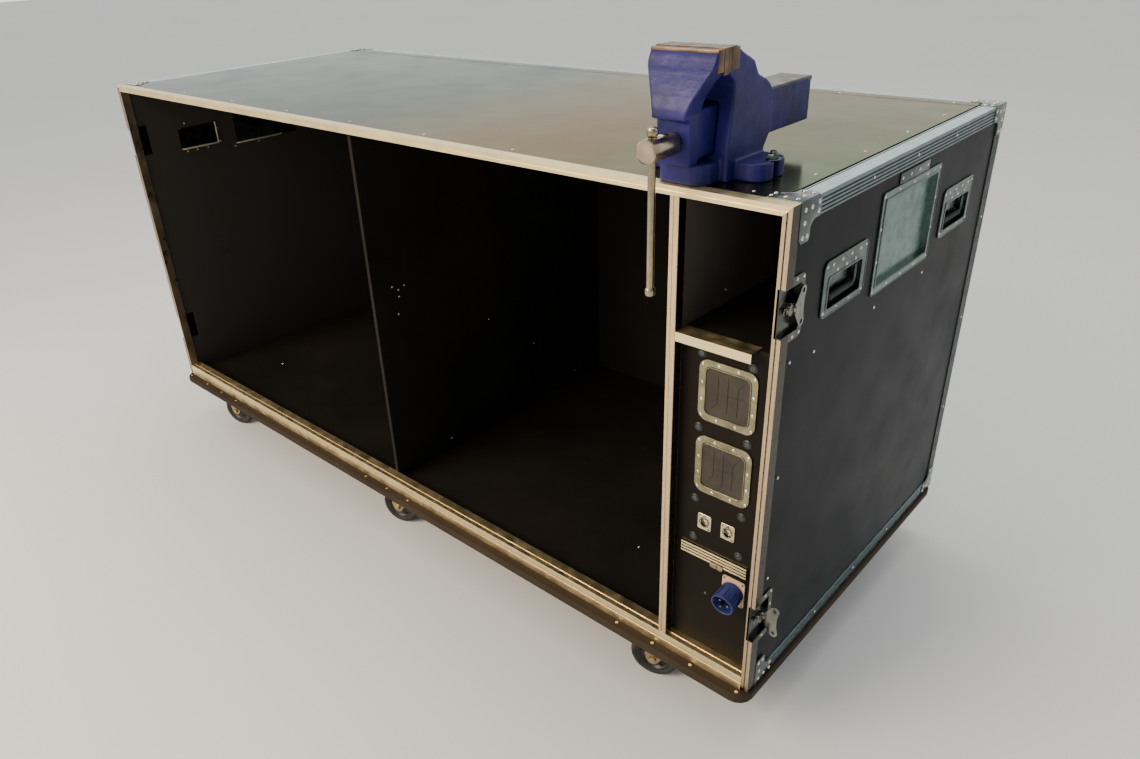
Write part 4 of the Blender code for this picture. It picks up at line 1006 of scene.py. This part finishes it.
def build_left_wall_backs():
    """Edges and rivets of the left handle's and card tray's backs, on the inside of the wall."""
    plate, rivets = Piece(), Piece()
    wall_x = LEFT + 0.0118
    low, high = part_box("left_front_handle_dish")
    place = facing("right", (wall_x, (low.y + high.y) / 2 + 0.002, (low.z + high.z) / 2 - 0.004))
    for width, height, centre in ((0.112, 0.0032, (0, -0.036)), (0.0032, 0.060, (0.056, -0.006))):
        plate.prism(round_box(width, height, 0.0012, 2, centre), -0.002, 0.0044, place, 0.0005)
    for u, v in ((-0.052, 0.020), (-0.034, 0.034), (-0.048, -0.012), (-0.040, 0.006), (-0.008, 0.010),
                 (0.018, 0.014),
                 (-0.042, -0.044), (-0.012, -0.044), (0.022, -0.044), (0.064, -0.034), (0.062, 0.004)):
        rivets.rivet(place @ Matrix.Translation((u, v, 0)), SMALL_RIVET)
    low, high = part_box("left_label_dish")
    bar = facing("right", (wall_x, low.y + 0.085, low.z + 0.0135))
    plate.prism(round_box(0.150, 0.0030, 0.001, 2), -0.002, 0.0040, bar, 0.0005)
    for u, v in ((-0.080, -0.008), (0.0, -0.007), (0.080, 0.001)):
        rivets.rivet(bar @ Matrix.Translation((u, v, 0)), SMALL_RIVET)
    plate.done("left_wall_backs", "pale", slot="zinc_steel")
    rivets.done("left_wall_rivets", "cream", slot="zinc_steel")


def build_inside_fasteners():
    """Rivets on the bay partition, the floor and inside the upper compartment."""
    piece = Piece()
    partition_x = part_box("bay_partition")[1].x
    for y, z in PARTITION_RIVETS:
        piece.rivet(facing("right", (partition_x, MIDDLE_Y + y, BOTTOM + z)), SMALL_RIVET)
    floor_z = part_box("floor_panel")[1].z
    for x, y in ((-0.798, -0.205), (0.42, 0.16), (0.62, -0.22)):
        piece.rivet(facing("top", (x, MIDDLE_Y + y, floor_z)))
    back_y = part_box("back_panel")[0].y
    for x, z in ((-0.50, 0.70), (0.30, 0.66), (0.62, 0.30)):
        piece.rivet(facing("front", (x, back_y, BOTTOM + z)))
    divider_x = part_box("column_divider")[1].x
    piece.rivet(facing("right", (divider_x, MIDDLE_Y - 0.267, BOTTOM + 0.6316 + 0.0400)), SMALL_RIVET)
    piece.done("inside_rivets", "rivet", slot="zinc_steel")


# ---------------------------------------------------------------- side hardware


def plate_rivets(piece, place, spots, size=RIVET):
    for u, v in spots:
        piece.rivet(place @ Matrix.Translation((u, v, 0)), size)


def build_handles():
    """Sprung handles: a rolled tray edge, rivets, pivot tubes and a moulded grip on a bent bail."""
    rivets = Piece()
    for side in ("left", "right"):
        for end in ("front", "rear"):
            name = f"{side}_{end}_handle"
            low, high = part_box(name + "_dish")
            face = high.x if side == "right" else low.x
            width, height = high.y - low.y, high.z - low.z
            place = facing(side, (face, (low.y + high.y) / 2, (low.z + high.z) / 2))
            u_edge, v_edge = width / 2 - 0.0085, height / 2 - 0.0085
            spots = [(-u_edge, v_edge), (u_edge, v_edge), (-u_edge, -v_edge), (u_edge, -v_edge)]
            spots += [(-0.021, -v_edge), (0.021, -v_edge)]
            spots += [(-0.045, v_edge - 0.001), (-0.015, v_edge - 0.001), (0.015, v_edge - 0.001),
                      (0.045, v_edge - 0.001)]
            spots += [(-0.030, v_edge - 0.013), (0.0, v_edge - 0.013), (0.030, v_edge - 0.013)]
            plate_rivets(rivets, place, spots, SMALL_RIVET)
            build_tray_bead(name, side, face)
            build_bail(name)
    rivets.done("handle_rivets", "rivet", slot="zinc_steel")


def build_tray_bead(name, side, face):
    """The rolled bead round a handle's tray and the edge of its plate."""
    bail_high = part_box(name + "_bail")[1]
    dish_low, dish_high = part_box(name + "_dish")
    centre_y = (dish_low.y + dish_high.y) / 2
    tray_top = bail_high.z + 0.0045
    tray_height, tray_width = 0.052, 0.112
    place = facing(side, (face, centre_y, tray_top - tray_height / 2))
    piece = Piece()
    outer = round_box(tray_width + 0.004, tray_height + 0.004, 0.006, 5)
    inner = round_box(tray_width - 0.003, tray_height - 0.003, 0.004, 5)
    piece.collar(outer, inner, -0.0006, 0.0011, place, 0.0006)
    plate_centre = facing(side, (face, centre_y, (dish_low.z + dish_high.z) / 2))
    size = (dish_high.y - dish_low.y, dish_high.z - dish_low.z)
    piece.collar(round_box(*size, 0.012, 6), round_box(size[0] - 0.004, size[1] - 0.004, 0.010, 6), -0.0004,
                 0.0008,
                 plate_centre, 0.0005)
    piece.done(name + "_bead", "zinc", slot="zinc_steel")


def build_bail(name):
    """A bent steel bail with a barrel-shaped rubber grip."""
    low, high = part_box(name + "_bail")
    x = (low.x + high.x) / 2
    centre_y = (low.y + high.y) / 2
    pivot_z = high.z - 0.0030
    half = (high.y - low.y) / 2 - 0.0031
    bottom_z = low.z + 0.0053
    steel, grip = Piece(), Piece()
    path = [(x, centre_y - half, pivot_z)]
    for corner, start in ((-1, 180), (1, 270)):
        for step in range(5):
            angle = math.radians(start + 90 * step / 4)
            y = centre_y + corner * (half - 0.007) + 0.007 * math.cos(angle)
            path.append((x, y, bottom_z + 0.007 + 0.007 * math.sin(angle)))
    path.append((x, centre_y + half, pivot_z))
    steel.tube(path, 0.0028, 12)
    for across in (-1, 1):
        place = Matrix.Translation((x, centre_y + across * (half - 0.0005),
                                    pivot_z)) @ Matrix.Rotation(math.pi / 2, 4, "X")
        steel.turned([(0.0030, -0.0035), (0.0032, -0.0030), (0.0032, 0.0030), (0.0030, 0.0035)], place, 16)
    steel.done(name + "_bail_wire", "zinc", body_of(name + "_bail"), "zinc_steel")
    reach = half - 0.011
    place = Matrix.Translation((x, centre_y, bottom_z)) @ Matrix.Rotation(math.pi / 2, 4, "X")
    profile = [(0.0030, -reach), (0.0046, -reach), (0.0052, -reach + 0.0012)]
    ridges = 14
    for ridge in range(ridges):
        start = -reach + 0.004 + (2 * reach - 0.008) * ridge / ridges
        step = (2 * reach - 0.008) / ridges
        profile += [(0.0052, start), (0.0052, start + step * 0.6), (0.00475, start + step * 0.7),
                    (0.00475, start + step * 0.9)]
    profile += [(0.0052, reach - 0.0012), (0.0046, reach), (0.0030, reach)]
    grip.turned(profile, place, 24)
    made = grip.done(name + "_grip", "rubber", body_of(name + "_bail"), "handle_rubber")
    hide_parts(name + "_bail")


def build_label_dishes():
    """Shallow card trays with a rolled rim, rivets and a blank strip riveted above the tray."""
    rivets, trim = Piece(), Piece()
    for side in ("left", "right"):
        low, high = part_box(side + "_label_dish")
        face = high.x if side == "right" else low.x
        width, height = high.y - low.y, high.z - low.z
        place = facing(side, (face, (low.y + high.y) / 2, (low.z + high.z) / 2))
        u_edge, v_edge = width / 2 - 0.0065, height / 2 - 0.0065
        spots = [(u_edge * a, v_edge * b) for a in (-1, 1) for b in (-1, -0.34, 0.34, 1)]
        spots += [(u_edge * a, v_edge * b) for a in (-0.5, 0, 0.5) for b in (-1, 1)]
        plate_rivets(rivets, place, spots, SMALL_RIVET)
        rim = 0.0135
        outer = round_box(width - 2 * rim + 0.005, height - 2 * rim + 0.005, 0.005, 5)
        inner = round_box(width - 2 * rim - 0.002, height - 2 * rim - 0.002, 0.003, 5)
        trim.collar(outer, inner, -0.0005, 0.0012, place, 0.0006)
        trim.collar(round_box(width, height, 0.006, 5), round_box(width - 0.004, height - 0.004, 0.004, 5),
                    -0.0004,
                    0.0008, place, 0.0005)
        above = place @ Matrix.Translation((0, height / 2 + 0.0095, -0.0012))
        trim.prism(round_box(0.118, 0.0170, 0.002, 4), 0, 0.0012, above, 0.0004)
        plate_rivets(rivets, above @ Matrix.Translation((0, 0, 0.0011)),
                     [(-0.050, 0), (-0.017, 0), (0.017, 0), (0.050, 0)],
                     SMALL_RIVET)
    dress("tray", "left_label_dish", "right_label_dish")
    trim.done("label_dish_trim", "zinc", slot="zinc_steel")
    rivets.done("label_dish_rivets", "rivet", slot="zinc_steel")


def build_latches():
    """Butterfly latches: riveted dish edge, sprung hook and boss on the rotor, rolled wing."""
    rivets = Piece()
    for side in ("left", "right"):
        sign = 1 if side == "right" else -1
        for end in ("upper", "lower"):
            name = f"{side}_{end}_latch"
            low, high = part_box(name + "_dish")
            face = high.x if sign > 0 else low.x
            place = facing(side, (face, (low.y + high.y) / 2, (low.z + high.z) / 2))
            u_edge, v_edge = (high.y - low.y) / 2, (high.z - low.z) / 2
            back = sign * (u_edge - 0.0050)
            front = -sign * (u_edge - 0.0340)
            spots = [(back, v_edge - 0.0065), (back, -v_edge + 0.0065), (back, 0.014), (back, -0.014)]
            spots += [(front, v_edge - 0.0055), (front, -v_edge + 0.0055)]
            plate_rivets(rivets, place, spots, SMALL_RIVET)
            build_latch_moving(name, side, sign)
    rivets.done("latch_rivets", "rivet", slot="zinc_steel")


def build_latch_moving(name, side, sign):
    """The rotor's boss, its open hook and the wing with rolled lobes."""
    rotor_low, rotor_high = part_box(name + "_rotor")
    axis_y = FRONT + 0.027
    z = (rotor_low.z + rotor_high.z) / 2
    outer_x = RIGHT * sign
    rotor = Piece()
    place = facing(side, (outer_x - sign * 0.0072, axis_y, z))
    rotor.turned([(0.0094, 0), (0.0094, 0.0055), (0.0086, 0.0064), (0.0060, 0.0068), (0.0056, 0.0074),
                  (0, 0.0076)], place, 32)
    for turn in range(8):
        spot = place @ Matrix.Rotation(math.pi * turn / 4, 4, "Z") @ Matrix.Translation((0.0091, 0, 0))
        rotor.prism(round_box(0.0012, 0.0024, 0.0004, 2), 0.0006, 0.0054, spot, 0.0002)
    hook = []
    forward = -sign
    for step in range(15):
        angle = math.radians(-60 + 300 * step / 14)
        hook.append((forward * (0.0135 + 0.0050 * math.cos(angle)), 0.0050 * math.sin(angle)))
    rotor.tube([place @ Vector((u, v, 0.0032)) for u, v in hook], 0.00115, 8)
    rotor.prism(round_box(0.0120, 0.0085, 0.0030, 4, (forward * 0.0055, 0)), 0.0016, 0.0046, place, 0.0006)
    lug = place @ Matrix.Translation((sign * 0.0038, 0, 0.0070))
    rotor.prism(round_box(0.0040, 0.0068, 0.0012, 3), -0.002, 0.0034, lug, 0.0006)
    made = rotor.done(name + "_rotor_plate", "chrome", body_of(name + "_rotor"), "chrome")
    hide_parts(name + "_rotor")
    wing_node = name + "_wing"
    dress("chrome", wing_node)
    soften(0.0005, 2, wing_node)


# ---------------------------------------------------------------- vise


def widen_tunnel(mesh, x, base, wider=0.0018, higher=0.0022):
    """Opens the slide's tunnel for the ground cap, whose corners are sharper than the bar's."""
    for vert in mesh.vertices:
        across = vert.co.x - x
        up = vert.co.z - base
        if abs(across) > TUNNEL_HALF + TUNNEL_MATCH:
            continue
        if not TUNNEL_ROOF - TUNNEL_DEPTH < up < TUNNEL_ROOF + TUNNEL_MATCH:
            continue
        if abs(across) > TUNNEL_HALF - TUNNEL_MATCH:
            vert.co.x += math.copysign(wider, across)
        if up > TUNNEL_ROOF - TUNNEL_MATCH:
            vert.co.z += higher


def apply_modifiers(made):
    """Swaps an object's mesh for what its modifiers make of it."""
    bpy.context.view_layer.update()
    graph = bpy.context.evaluated_depsgraph_get()
    finished = bpy.data.meshes.new_from_object(made.evaluated_get(graph))
    made.modifiers.clear()
    made.data = finished


def cast_copy(node, name, voxel=0.0015, rounds=14):
    """A rounded casting made from a CAD node: remeshed, smoothed and slightly uneven."""
    mesh = nodes[node].data.copy()
    mesh.name = name
    if node == "vise_body":
        widen_tunnel(mesh, middle("vise_moving_jaw").x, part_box(node)[0].z)
    made = bpy.data.objects.new(name, mesh)
    scene.collection.objects.link(made)
    grid = made.modifiers.new("grid", "REMESH")
    grid.mode = "VOXEL"
    grid.voxel_size = voxel
    relax = made.modifiers.new("relax", "SMOOTH")
    relax.factor = 0.5
    relax.iterations = rounds
    uneven = bpy.data.textures.new(name + "_uneven", "CLOUDS")
    uneven.noise_scale = 0.012
    push = made.modifiers.new("push", "DISPLACE")
    push.texture = uneven
    push.texture_coords = "LOCAL"
    push.strength = 0.0004
    push.mid_level = 0.62
    apply_modifiers(made)
    made.data.name = name
    made.data.materials.clear()
    made.data.materials.append(LOOKS["paint"])
    made.data.shade_smooth()
    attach(made, body_of(node))
    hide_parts(node)
    return made


def ease_front(mesh, low, step=0.0015, reach=0.012, window=17):
    """Turns the flats of a casting's front face above a height into one curve, and keeps its edges."""
    levels = {}
    for vert in mesh.vertices:
        if vert.co.z >= low:
            level = round((vert.co.z - low) / step)
            levels[level] = min(levels.get(level, 1e9), vert.co.y)
    count = max(levels) + 1
    front = [levels.get(level, levels[count - 1]) for level in range(count)]
    shifts = []
    for level in range(count):
        span = min(window, level, count - 1 - level)
        near = front[level - span:level + span + 1]
        shifts.append(sum(near) / len(near) - front[level])
    groups = [shifts[max(level - 2, 0):level + 3] for level in range(count)]
    shifts = [sum(group) / len(group) for group in groups]
    for vert in mesh.vertices:
        place = (vert.co.z - low) / step
        level = min(max(math.floor(place), 0), count - 2)
        share = place - level
        if not 0 <= share <= 1:
            continue
        depth = vert.co.y - (front[level] * (1 - share) + front[level + 1] * share)
        shift = shifts[level] * (1 - share) + shifts[level + 1] * share
        if depth < reach:
            vert.co.y += shift * (1 - max(depth, 0) / reach)


def build_vise():
    """Rounded castings with ground steel jaws, slide cap, bolts, nuts, screw thread and turned ends."""
    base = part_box("vise_body")[0].z
    cast_copy("vise_body", "vise_body_casting")
    jaw = cast_copy("vise_moving_jaw", "vise_jaw_casting")
    ease_front(jaw.data, base + JAW_HEAD_LOW)
    jaw_low, jaw_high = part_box("vise_moving_jaw")
    x = (jaw_low.x + jaw_high.x) / 2
    build_jaw_plates(x, (jaw_high.x - jaw_low.x) / 2, MIDDLE_Y - 0.3735, jaw_high.z, base)
    build_slide_cap(x, jaw_high, base)
    build_vise_bolts(x, base)
    build_vise_screw(x)


def serrated(piece, x, half, y_face, y_back, low, high, toward):
    """A jaw plate with a cross-cut face, as narrow ridges across its width."""
    ridges = 30
    rings = []
    for step in range(ridges * 2 + 1):
        across = -half + 2 * half * step / (ridges * 2)
        depth = 0.0004 if step % 2 else 0.0
        face = y_face + toward * depth
        corners = [(y_back, low), (face, low), (face, high - 0.0006), (face + toward * 0.0006, high),
                   (y_back, high)]
        rings.append([Vector((x + across, y, z)) for y, z in corners])
    piece.loft(rings)


def build_jaw_plates(x, half, jaw_face, jaw_top, base):
    """The two hardened plates, the fixed one's screws and the ground tops of both jaws."""
    low = base + JAW_PLATE_LOW
    moving, fixed = Piece(), Piece()
    serrated(moving, x, half + 0.0006, jaw_face + 0.0002, jaw_face - 0.0106, low, jaw_top + 0.0004, -1)
    moving_top = facing("top", (x, jaw_face - 0.0180, jaw_top - 0.0014))
    moving.prism(round_box(2 * half, 0.0140, 0.0014, 3), -0.004, 0.0006, moving_top, 0.0005)
    fixed_face = jaw_face + 0.0025
    serrated(fixed, x, half - 0.0004, fixed_face - 0.0002, fixed_face + 0.0100, low + 0.002,
             jaw_top + 0.0002, 1)
    fixed_top = facing("top", (x, fixed_face + 0.0160, jaw_top))
    fixed.prism(round_box(2 * half - 0.003, 0.0125, 0.0014, 3), -0.004, 0.0004, fixed_top, 0.0005)
    for across in (-1, 1):
        for piece, face, reach in ((moving, jaw_face - 0.0060, -0.0170),
                                   (fixed, fixed_face + 0.0060, 0.0190)):
            near, far = sorted((face, face + reach))
            cheek = facing("right" if across > 0 else "left", (x + across * (half - 0.0022), 0, 0))
            corners = [(near, low + 0.004), (far, low + 0.004), (far, jaw_top - 0.0012),
                       (near, jaw_top - 0.0012)]
            if across < 0:
                corners = [(-y, z) for y, z in reversed(corners)]
            piece.prism(corners, -0.004, 0.0024, cheek, 0.0006)
    screws = Piece()
    screw_profile = [(0, 0.0004), (0.0030, 0.0004), (0.0034, 0.0018), (0.0052, 0.0016), (0.0056, -0.0004)]
    for across in (-0.032, 0.032):
        screws.turned(screw_profile, facing("back", (x + across, fixed_face + 0.010, jaw_top - 0.016)), 20)
    moving.done("moving_jaw_plate", "jaw_steel", "vise_jaw", "bright_steel", 25)
    screws.done("fixed_jaw_screws", "jaw_steel", "case", "bright_steel")
    fixed.done("fixed_jaw_plate", "jaw_steel", "case", "bright_steel", 25)


def build_slide_cap(x, jaw_high, base):
    """The ground steel strip on the slide bar behind the fixed jaw, flared at its end."""
    piece = Piece()
    top = base + SLIDE_TOP
    start, end = MIDDLE_Y - 0.255, jaw_high.y
    rings = []
    for y, half in ((start, 0.0272), (end - 0.012, 0.0272), (end - 0.004, 0.0280), (end - 0.0004, 0.0280)):
        section = [(-half, -0.0052), (half, -0.0052), (half, 0.0004), (half - 0.0008, 0.0012),
                   (-half + 0.0008, 0.0012),
                   (-half, 0.0004)]
        rings.append([Vector((x + u, y, top + v)) for u, v in section])
    piece.loft(rings)
    piece.done("slide_cap", "slide_steel", "vise_jaw", "bright_steel", 25)


def build_vise_bolts(x, base):
    """Washers, hexagon nuts and bolt ends in the lugs."""
    bolts = Piece()
    for across in (-0.0915, 0.0915):
        place = facing("top", (x + across, MIDDLE_Y - 0.302, base + 0.0262))
        bolts.turned([(0.0105, 0), (0.0110, 0.0003), (0.0110, 0.0016), (0.0105, 0.0019), (0.0, 0.0019)],
                     place, 32)
        bolts.prism(circle(0.0088, 6), 0.0019, 0.0085, place, 0.0009)
        bolts.turned([(0.0047, 0.0080), (0.0047, 0.0120), (0.0040, 0.0127), (0, 0.0128)], place, 20)
    bolts.done("vise_lug_bolts", "zinc", slot="zinc_steel")


def build_vise_screw(x):
    """The turned head with its through hole, the threaded screw, and the bar with round ends."""
    low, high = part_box("vise_spindle")
    bar_low, bar_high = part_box("vise_tommy_bar")
    z = (low.z + high.z) / 2
    bar_y = (bar_low.y + bar_high.y) / 2
    along = Matrix.Translation((x, low.y, z)) @ Matrix.Rotation(-math.pi / 2, 4, "X")
    radius = (high.x - low.x) / 2
    head = Piece()
    profile = [(0, 0.0003), (radius - 0.0022, 0), (radius, 0.0018), (radius, 0.0600),
               (radius - 0.0012, 0.0632),
               (radius - 0.0040, SPINDLE_HEAD), (0, SPINDLE_HEAD)]
    head.turned(profile, along, 56)
    made = head.done("spindle_head", "bright", "vise_screw", "bright_steel")
    hole = Piece()
    hole.turned([(0.0069, -0.03), (0.0069, 0.03)], Matrix.Translation((x, bar_y, z)), 32)
    cutter = hole.done("bar_hole_cutter", "bright", "vise_screw")
    cut = made.modifiers.new("bar_hole", "BOOLEAN")
    cut.object = cutter
    cut.solver = "EXACT"
    apply_modifiers(made)
    bpy.data.objects.remove(cutter)
    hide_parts("vise_spindle")
    build_thread(x, z, low.y + SPINDLE_HEAD, high.y)
    bar = Piece()
    place = Matrix.Translation((x, bar_y, 0))
    half, cap = 0.0056, 0.0078
    end = [(0, 0), (cap * 0.55, 0.0003), (cap * 0.88, 0.0016), (cap, 0.0038), (cap, 0.0105)]
    end += [(cap * 0.90, 0.0122), (half, 0.0138)]
    levels = [(radius, bar_low.z + up) for radius, up in end]
    levels += [(radius, bar_high.z - down) for radius, down in reversed(end)]
    bar.turned(levels, place, 32)
    made = bar.done("tommy_bar", "bar", "vise_handle", "bright_steel")
    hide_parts("vise_tommy_bar")


def build_thread(x, z, start, end):
    """A square-shouldered screw thread with a 6 mm lead."""
    outer, depth, steps = 0.0099, 0.0016, 24
    thread_start = start + 0.045
    rings = []
    count = int((end - thread_start) / (SCREW_LEAD / 6))
    for step in range(count + 1):
        y = thread_start + (end - thread_start) * step / count
        ring = []
        for side in range(steps):
            turn = 2 * math.pi * side / steps
            phase = ((y - thread_start) / SCREW_LEAD - side / steps) % 1.0
            crest = min(max(4 * abs(phase - 0.5) - 0.5, 0.0), 1.0)
            radius = outer - depth * crest
            ring.append(Vector((x + radius * math.cos(turn), y, z + radius * math.sin(turn))))
        rings.append(ring)
    neck = [Vector((x + u, start - 0.0005, z + v)) for u, v in circle(0.0095, steps)]
    piece = Piece()
    piece.loft([neck] + rings)
    piece.done("spindle_thread", "bright", "vise_screw", "bright_steel", 50)


# ---------------------------------------------------------------- casters, dolly and lone rivets


def build_casters():
    """Wheels with a hub and rounded tyre, nuts on the axles, plate bolts and ribbed pedals."""
    yaw = math.radians(197)
    forward = Vector((math.cos(yaw), math.sin(yaw), 0))
    across = Vector((-math.sin(yaw), math.cos(yaw), 0))
    bolts = Piece()
    for row in ("front", "rear"):
        for spot in ("left", "middle", "right"):
            name = f"caster_{row}_{spot}"
            centre = middle(name + "_wheel")
            turn = Matrix((forward, Vector((0, 0, -1)), across)).transposed().to_4x4()
            place = Matrix.Translation(centre) @ turn
            build_wheel(name, place)
            build_axle_nuts(name, place)
            dress("warm_zinc", name + "_fork")
            soften(0.0008, 2, name + "_fork")
            swivel = centre - forward * 0.036
            for u in (-0.040, 0.040):
                for v in (-0.032, 0.032):
                    bolt = facing("under", (swivel.x + u, swivel.y + v, 0.1217))
                    bolts.prism(circle(0.0058, 6), -0.0003, 0.0042, bolt, 0.0006)
            if row == "front":
                dress("warm_zinc", name + "_pedal")
                soften(0.0006, 2, name + "_pedal")
    bolts.done("caster_plate_bolts", "zinc", slot="zinc_steel")


def build_wheel(name, place):
    """A rubber tyre with round shoulders on a recessed plastic hub with a bearing cap."""
    radius, half = 0.0500, 0.0160
    tyre = Piece()
    shoulder = 0.0085
    profile = [(0.0370, half - 0.0030), (0.0385, half - 0.0012)]
    for step in range(9):
        angle = math.radians(90 - 90 * step / 8)
        profile.append((radius - shoulder + shoulder * math.cos(angle),
                        half - shoulder + shoulder * math.sin(angle)))
    profile += [(r, -h) for r, h in reversed(profile)]
    tyre.loft([[place @ Vector(point) for point in circle(r, 56, h)] for r, h in profile], around=True)
    made = tyre.done(name + "_tyre", "tyre", body_of(name + "_wheel"), "tyre", 40)
    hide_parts(name + "_wheel")
    hub = Piece()
    side = [(0.0066, half - 0.0004), (0.0100, half - 0.0004), (0.0106, half - 0.0012),
            (0.0110, half - 0.0050),
            (0.0290, half - 0.0075), (0.0335, half - 0.0030), (0.0372, half - 0.0028)]
    closed = side + [(r, -h) for r, h in reversed(side)]
    hub.loft([[place @ Vector(point) for point in circle(r, 40, h)] for r, h in closed], around=True)
    for spoke in range(6):
        for face in (-1, 1):
            spin = place @ Matrix.Rotation(2 * math.pi * spoke / 6, 4,
                                           "Z") @ Matrix.Translation((0.0200, 0, 0))
            low, high = sorted((face * (half - 0.0090), face * (half - 0.0052)))
            hub.prism(round_box(0.0190, 0.0030, 0.0008, 2), low, high, spin, 0.0004)
    hub.done(name + "_hub", "black", body_of(name + "_wheel"), "tyre", 30)


def build_axle_nuts(name, place):
    """A hexagon head on one end of the axle and a nut on the other."""
    piece = Piece()
    for face in (-1, 1):
        low, high = sorted((face * 0.0236, face * 0.0285))
        piece.prism(circle(0.0078, 6), low, high, place, 0.0007)
    piece.done(name + "_axle_nuts", "warm_zinc", body_of(name + "_fork"), "zinc_steel")


def build_dolly_screws():
    """Countersunk screws along the ledge of the dolly board in front of the case."""
    piece = Piece()
    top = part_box("dolly_board")[1].z
    for x in (-0.983, -0.886, -0.801, -0.716, -0.085, -0.001, 0.079, 0.716, 0.801, 0.886, 0.983):
        place = facing("top", (x, MIDDLE_Y - 0.4205, top))
        piece.turned([(0, 0.0002), (0.0010, 0.0002), (0.0014, 0.0008), (0.0030, 0.0007), (0.0033, -0.0002)],
                     place, 18)
    piece.done("dolly_screws", "warm_zinc", slot="zinc_steel")


def build_panel_rivets():
    """Lone rivets in the end panels and down the sides of the stiles."""
    piece = Piece()
    for side, sign in (("left", -1), ("right", 1)):
        for y, z in PANEL_RIVETS:
            piece.rivet(facing(side, (sign * PANEL_OUT, MIDDLE_Y + y, BOTTOM + z)), SMALL_RIVET)
        for y, z in STILE_RIVETS:
            piece.rivet(facing(side, (sign * RIGHT, MIDDLE_Y + y, BOTTOM + z)), SMALL_RIVET)
    piece.done("panel_rivets", "rivet", slot="zinc_steel")


# ---------------------------------------------------------------- scene


def build_stage():
    """A plain pale floor."""
    floor = Surface("studio_floor", (0.80, 0.79, 0.77), 0.75)
    floor.colour(floor.ramp(floor.noise(0.6, 2), [(0.2, (0.80, 0.79, 0.77)), (0.8, (0.84, 0.83, 0.81))]))
    bm = bmesh.new()
    bmesh.ops.create_grid(bm, x_segments=8, y_segments=8, size=30)
    mesh = bpy.data.meshes.new("floor")
    bm.to_mesh(mesh)
    bm.free()
    mesh.materials.append(floor.material)
    made = bpy.data.objects.new("floor", mesh)
    scene.collection.objects.link(made)


def area_light(name, place, target, size, power, colour):
    light = bpy.data.lights.new(name, "AREA")
    light.shape = "RECTANGLE"
    light.size, light.size_y = size
    light.energy = power
    light.color = colour
    made = bpy.data.objects.new(name, light)
    scene.collection.objects.link(made)
    made.location = place
    made.rotation_mode = "QUATERNION"
    made.rotation_quaternion = (Vector(target) - Vector(place)).to_track_quat("-Z", "Y")


def build_light():
    """A pale surround, duller at the right, with a warm key and soft top and right lights."""
    world = bpy.data.worlds.new("studio")
    scene.world = world
    world.use_nodes = True
    tree = world.node_tree
    background = tree.nodes["Background"]
    place = tree.nodes.new("ShaderNodeTexCoord").outputs["Generated"]
    split = tree.nodes.new("ShaderNodeSeparateXYZ")
    tree.links.new(place, split.inputs["Vector"])
    colours = []
    for axis, stops in (("Z", WORLD_BY_HEIGHT), ("X", WORLD_BY_SIDE)):
        ramp = tree.nodes.new("ShaderNodeValToRGB")
        spread = tree.nodes.new("ShaderNodeMapRange")
        spread.inputs["From Min"].default_value = -1
        tree.links.new(split.outputs[axis], spread.inputs["Value"])
        tree.links.new(spread.outputs["Result"], ramp.inputs["Fac"])
        set_stops(ramp, stops)
        colours.append(ramp.outputs["Color"])
    both = tree.nodes.new("ShaderNodeMix")
    both.data_type = "RGBA"
    both.blend_type = "MULTIPLY"
    both.inputs[0].default_value = 1
    tree.links.new(colours[0], both.inputs[6])
    tree.links.new(colours[1], both.inputs[7])
    tree.links.new(both.outputs[2], background.inputs["Color"])
    background.inputs["Strength"].default_value = 1.5
    area_light("key_warm", (-0.9, -3.4, 2.6), (0.2, -0.3, 0.6), (2.2, 1.6), 150, (1.0, 0.82, 0.60))
    area_light("top_soft", (0.0, 0.6, 4.2), (0.1, 0.1, 0.5), (3.2, 2.0), 60, (1.0, 0.98, 0.94))
    area_light("right_cool", (4.2, 1.4, 2.2), (1.0, 0.1, 0.6), (1.2, 1.2), 14, (0.80, 0.97, 1.0))


def build_camera():
    data = bpy.data.cameras.new("photo_camera")
    data.lens = CAMERA_LENS
    data.sensor_width = 36
    data.shift_x, data.shift_y = CAMERA_SHIFT
    data.clip_start, data.clip_end = 0.02, 200
    camera = bpy.data.objects.new("photo_camera", data)
    scene.collection.objects.link(camera)
    camera.location = CAMERA_PLACE
    camera.rotation_mode = "QUATERNION"
    aim = (Vector(CAMERA_TARGET) - Vector(CAMERA_PLACE)).to_track_quat("-Z", "Y")
    camera.rotation_quaternion = aim @ Quaternion((0, 0, 1), CAMERA_ROLL)
    scene.camera = camera


def dress_frame():
    """Looks and soft edges for the CAD nodes that stay visible."""
    dress("sheet", "worktop")
    dress("panel", "left_panel", "right_panel")
    dress("inside", "floor_panel", "bay_partition", "column_shelf", "back_panel")
    dress("divider", "column_divider")
    dress("column", "rack_panel", "lower_panel")
    dress("dolly", "dolly_board")
    dress("rail_x", "front_top_rail", "front_sill")
    dress("rail_z", "right_stile")
    dress("rail_left", "left_stile")
    dishes = [name for name in nodes if name.endswith("_dish")]
    dress("zinc", *dishes)
    dress("latch_zinc", *[name for name in dishes if "latch" in name])
    soften(0.0005, 2, "front_top_rail", "front_sill", "left_stile", "right_stile")
    soften(0.0004, 2, *dishes)
    soften(0.0007, 2, "bay_partition", "column_shelf", "rack_panel", "lower_panel")


dress_frame()
build_edge_extrusions()
build_corner_braces()
build_edge_rivets()
build_worktop_trim()
build_divider_trim()
build_ledge()
build_strip()
build_ports()
build_data_sockets()
build_column_screws()
build_inlet()
build_inside_fasteners()
build_left_wall_backs()
build_handles()
build_label_dishes()
build_latches()
build_vise()
build_casters()
build_dolly_screws()
build_panel_rivets()
build_stage()
build_light()
build_camera()
